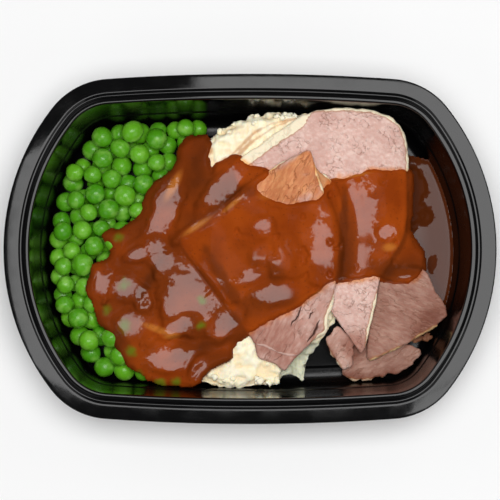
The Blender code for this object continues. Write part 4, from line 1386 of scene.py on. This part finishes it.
# a flat pool that turns up a little where it meets the wall and the meat
def makePool(finish):
    p = flatGrid(pool)
    depth = nearestOnLoop(poolOutline(0.15), p)[1]
    inward = np.maximum(depth, 0)
    away = np.hypot(p[..., 0] - pool["dropAt"][0], p[..., 1] - pool["dropAt"][1])
    rise = pool["turnUp"] * np.exp(-inward / pool["turnWidth"])
    drops = pool["drop"] * smoothStep(4.2, 1.5, away)
    thick = 0.7 * smoothStep(-0.2, 0.35, nearPatches(pool["thick"], p) + 0.35 * roughNoise(p, 4.0, 71))
    top = layout["poolTop"] - 0.3 + rise + drops + thick + 0.06 * latticeNoise(p, 11.0, 72)
    points, faces, at = sheetBody(p, top, np.full(top.shape, pool["bottom"]), (depth > 0)[:-1, :-1])
    dull = np.maximum(nearPatches(pool["dull"], p), 0.8 * nearPatches(pool["halfDull"], p))
    dull = smoothStep(-0.15, 0.15, dull + 0.3 * roughNoise(p, 2.6, 73))
    fields = {
        "gloss": 0.6 - 2.2 * dull,
        "shine": 0.45 + 0.5 * np.exp(-inward / 0.9) + 0.2 * smoothStep(84, 76, p[..., 0]),
        "film": np.full(top.shape, pool["film"]),
        "thin": np.full(top.shape, -1.0),
        "green": np.zeros(top.shape),
    }
    values = {key: value.ravel()[at] for key, value in fields.items()}
    addPiece("gravy_pool_visual", points, faces, finish, ["gravy_pool"], values)


# brown gravy: deep where it is thick, orange where it is thin, green over shallow peas; a clear
# gloss lies on its flat parts and breaks up raggedly at their edges
def gravyFinish():
    look = Finish("gravyCoat", Roughness=0.55, IOR=1.3, Specular_IOR_Level=0.05, Coat_Roughness=0.1,
                  Coat_IOR=1.5)
    at = place(look)
    film = stored(look, "film")
    deep = addStep(look.tree, film, 0.35, 1.0)
    darker = addStep(look.tree, film, 0.9, 1.8)
    thin = addStep(look.tree, stored(look, "thin"), -0.15, 0.75)
    speck = patches(look, at, 900.0, 0.62, 0.70, 2.0)
    body = mixColour(look, patches(look, at, 70.0, 0.3, 0.7, 4.0), *gravy["brown"])
    body = mixColour(look, times(look, deep, 0.75), body, gravy["deepBrown"])
    body = mixColour(look, times(look, darker, 0.75), body, gravy["darkBrown"])
    body = mixColour(look, times(look, thin, 0.8), body, gravy["thinOrange"])
    body = mixColour(look, times(look, speck, 0.35), body, gravy["specks"])
    body = mixColour(look, times(look, stored(look, "green"), 0.8), body, gravy["overPeas"])
    look.feed(body, "Base Color")
    rag = look.add("TexNoise", Vector=at, Scale=270.0, Detail=8.0, Roughness=0.72).outputs["Fac"]
    rag = look.add("MapRange", Value=rag, From_Min=0.3, From_Max=0.7, To_Min=-0.6, To_Max=0.6).outputs[0]
    level = addMath(look.tree, "ADD", stored(look, "gloss"), rag)
    gloss = addStep(look.tree, level, -0.08, 0.08, To_Min=0.04)
    look.feed(times(look, gloss, stored(look, "shine")), "Coat Weight")
    look.feed(bump(look, grain(look, at, 330.0, 0.4), 0.1, 0.35), "Normal")
    return look.material


mashLook = mashFinish()
makeMash(mashLook)
makeMashCrumbs(mashLook)
print("mash made")

for number, (name, roast) in enumerate(roasts.items()):
    makeSlice(name, meatFinish(**roast), 80 + 10 * number)
print("meat laid")

gravyLook = gravyFinish()
makeGravy(gravyLook)
makePool(gravyLook)
print("gravy poured")
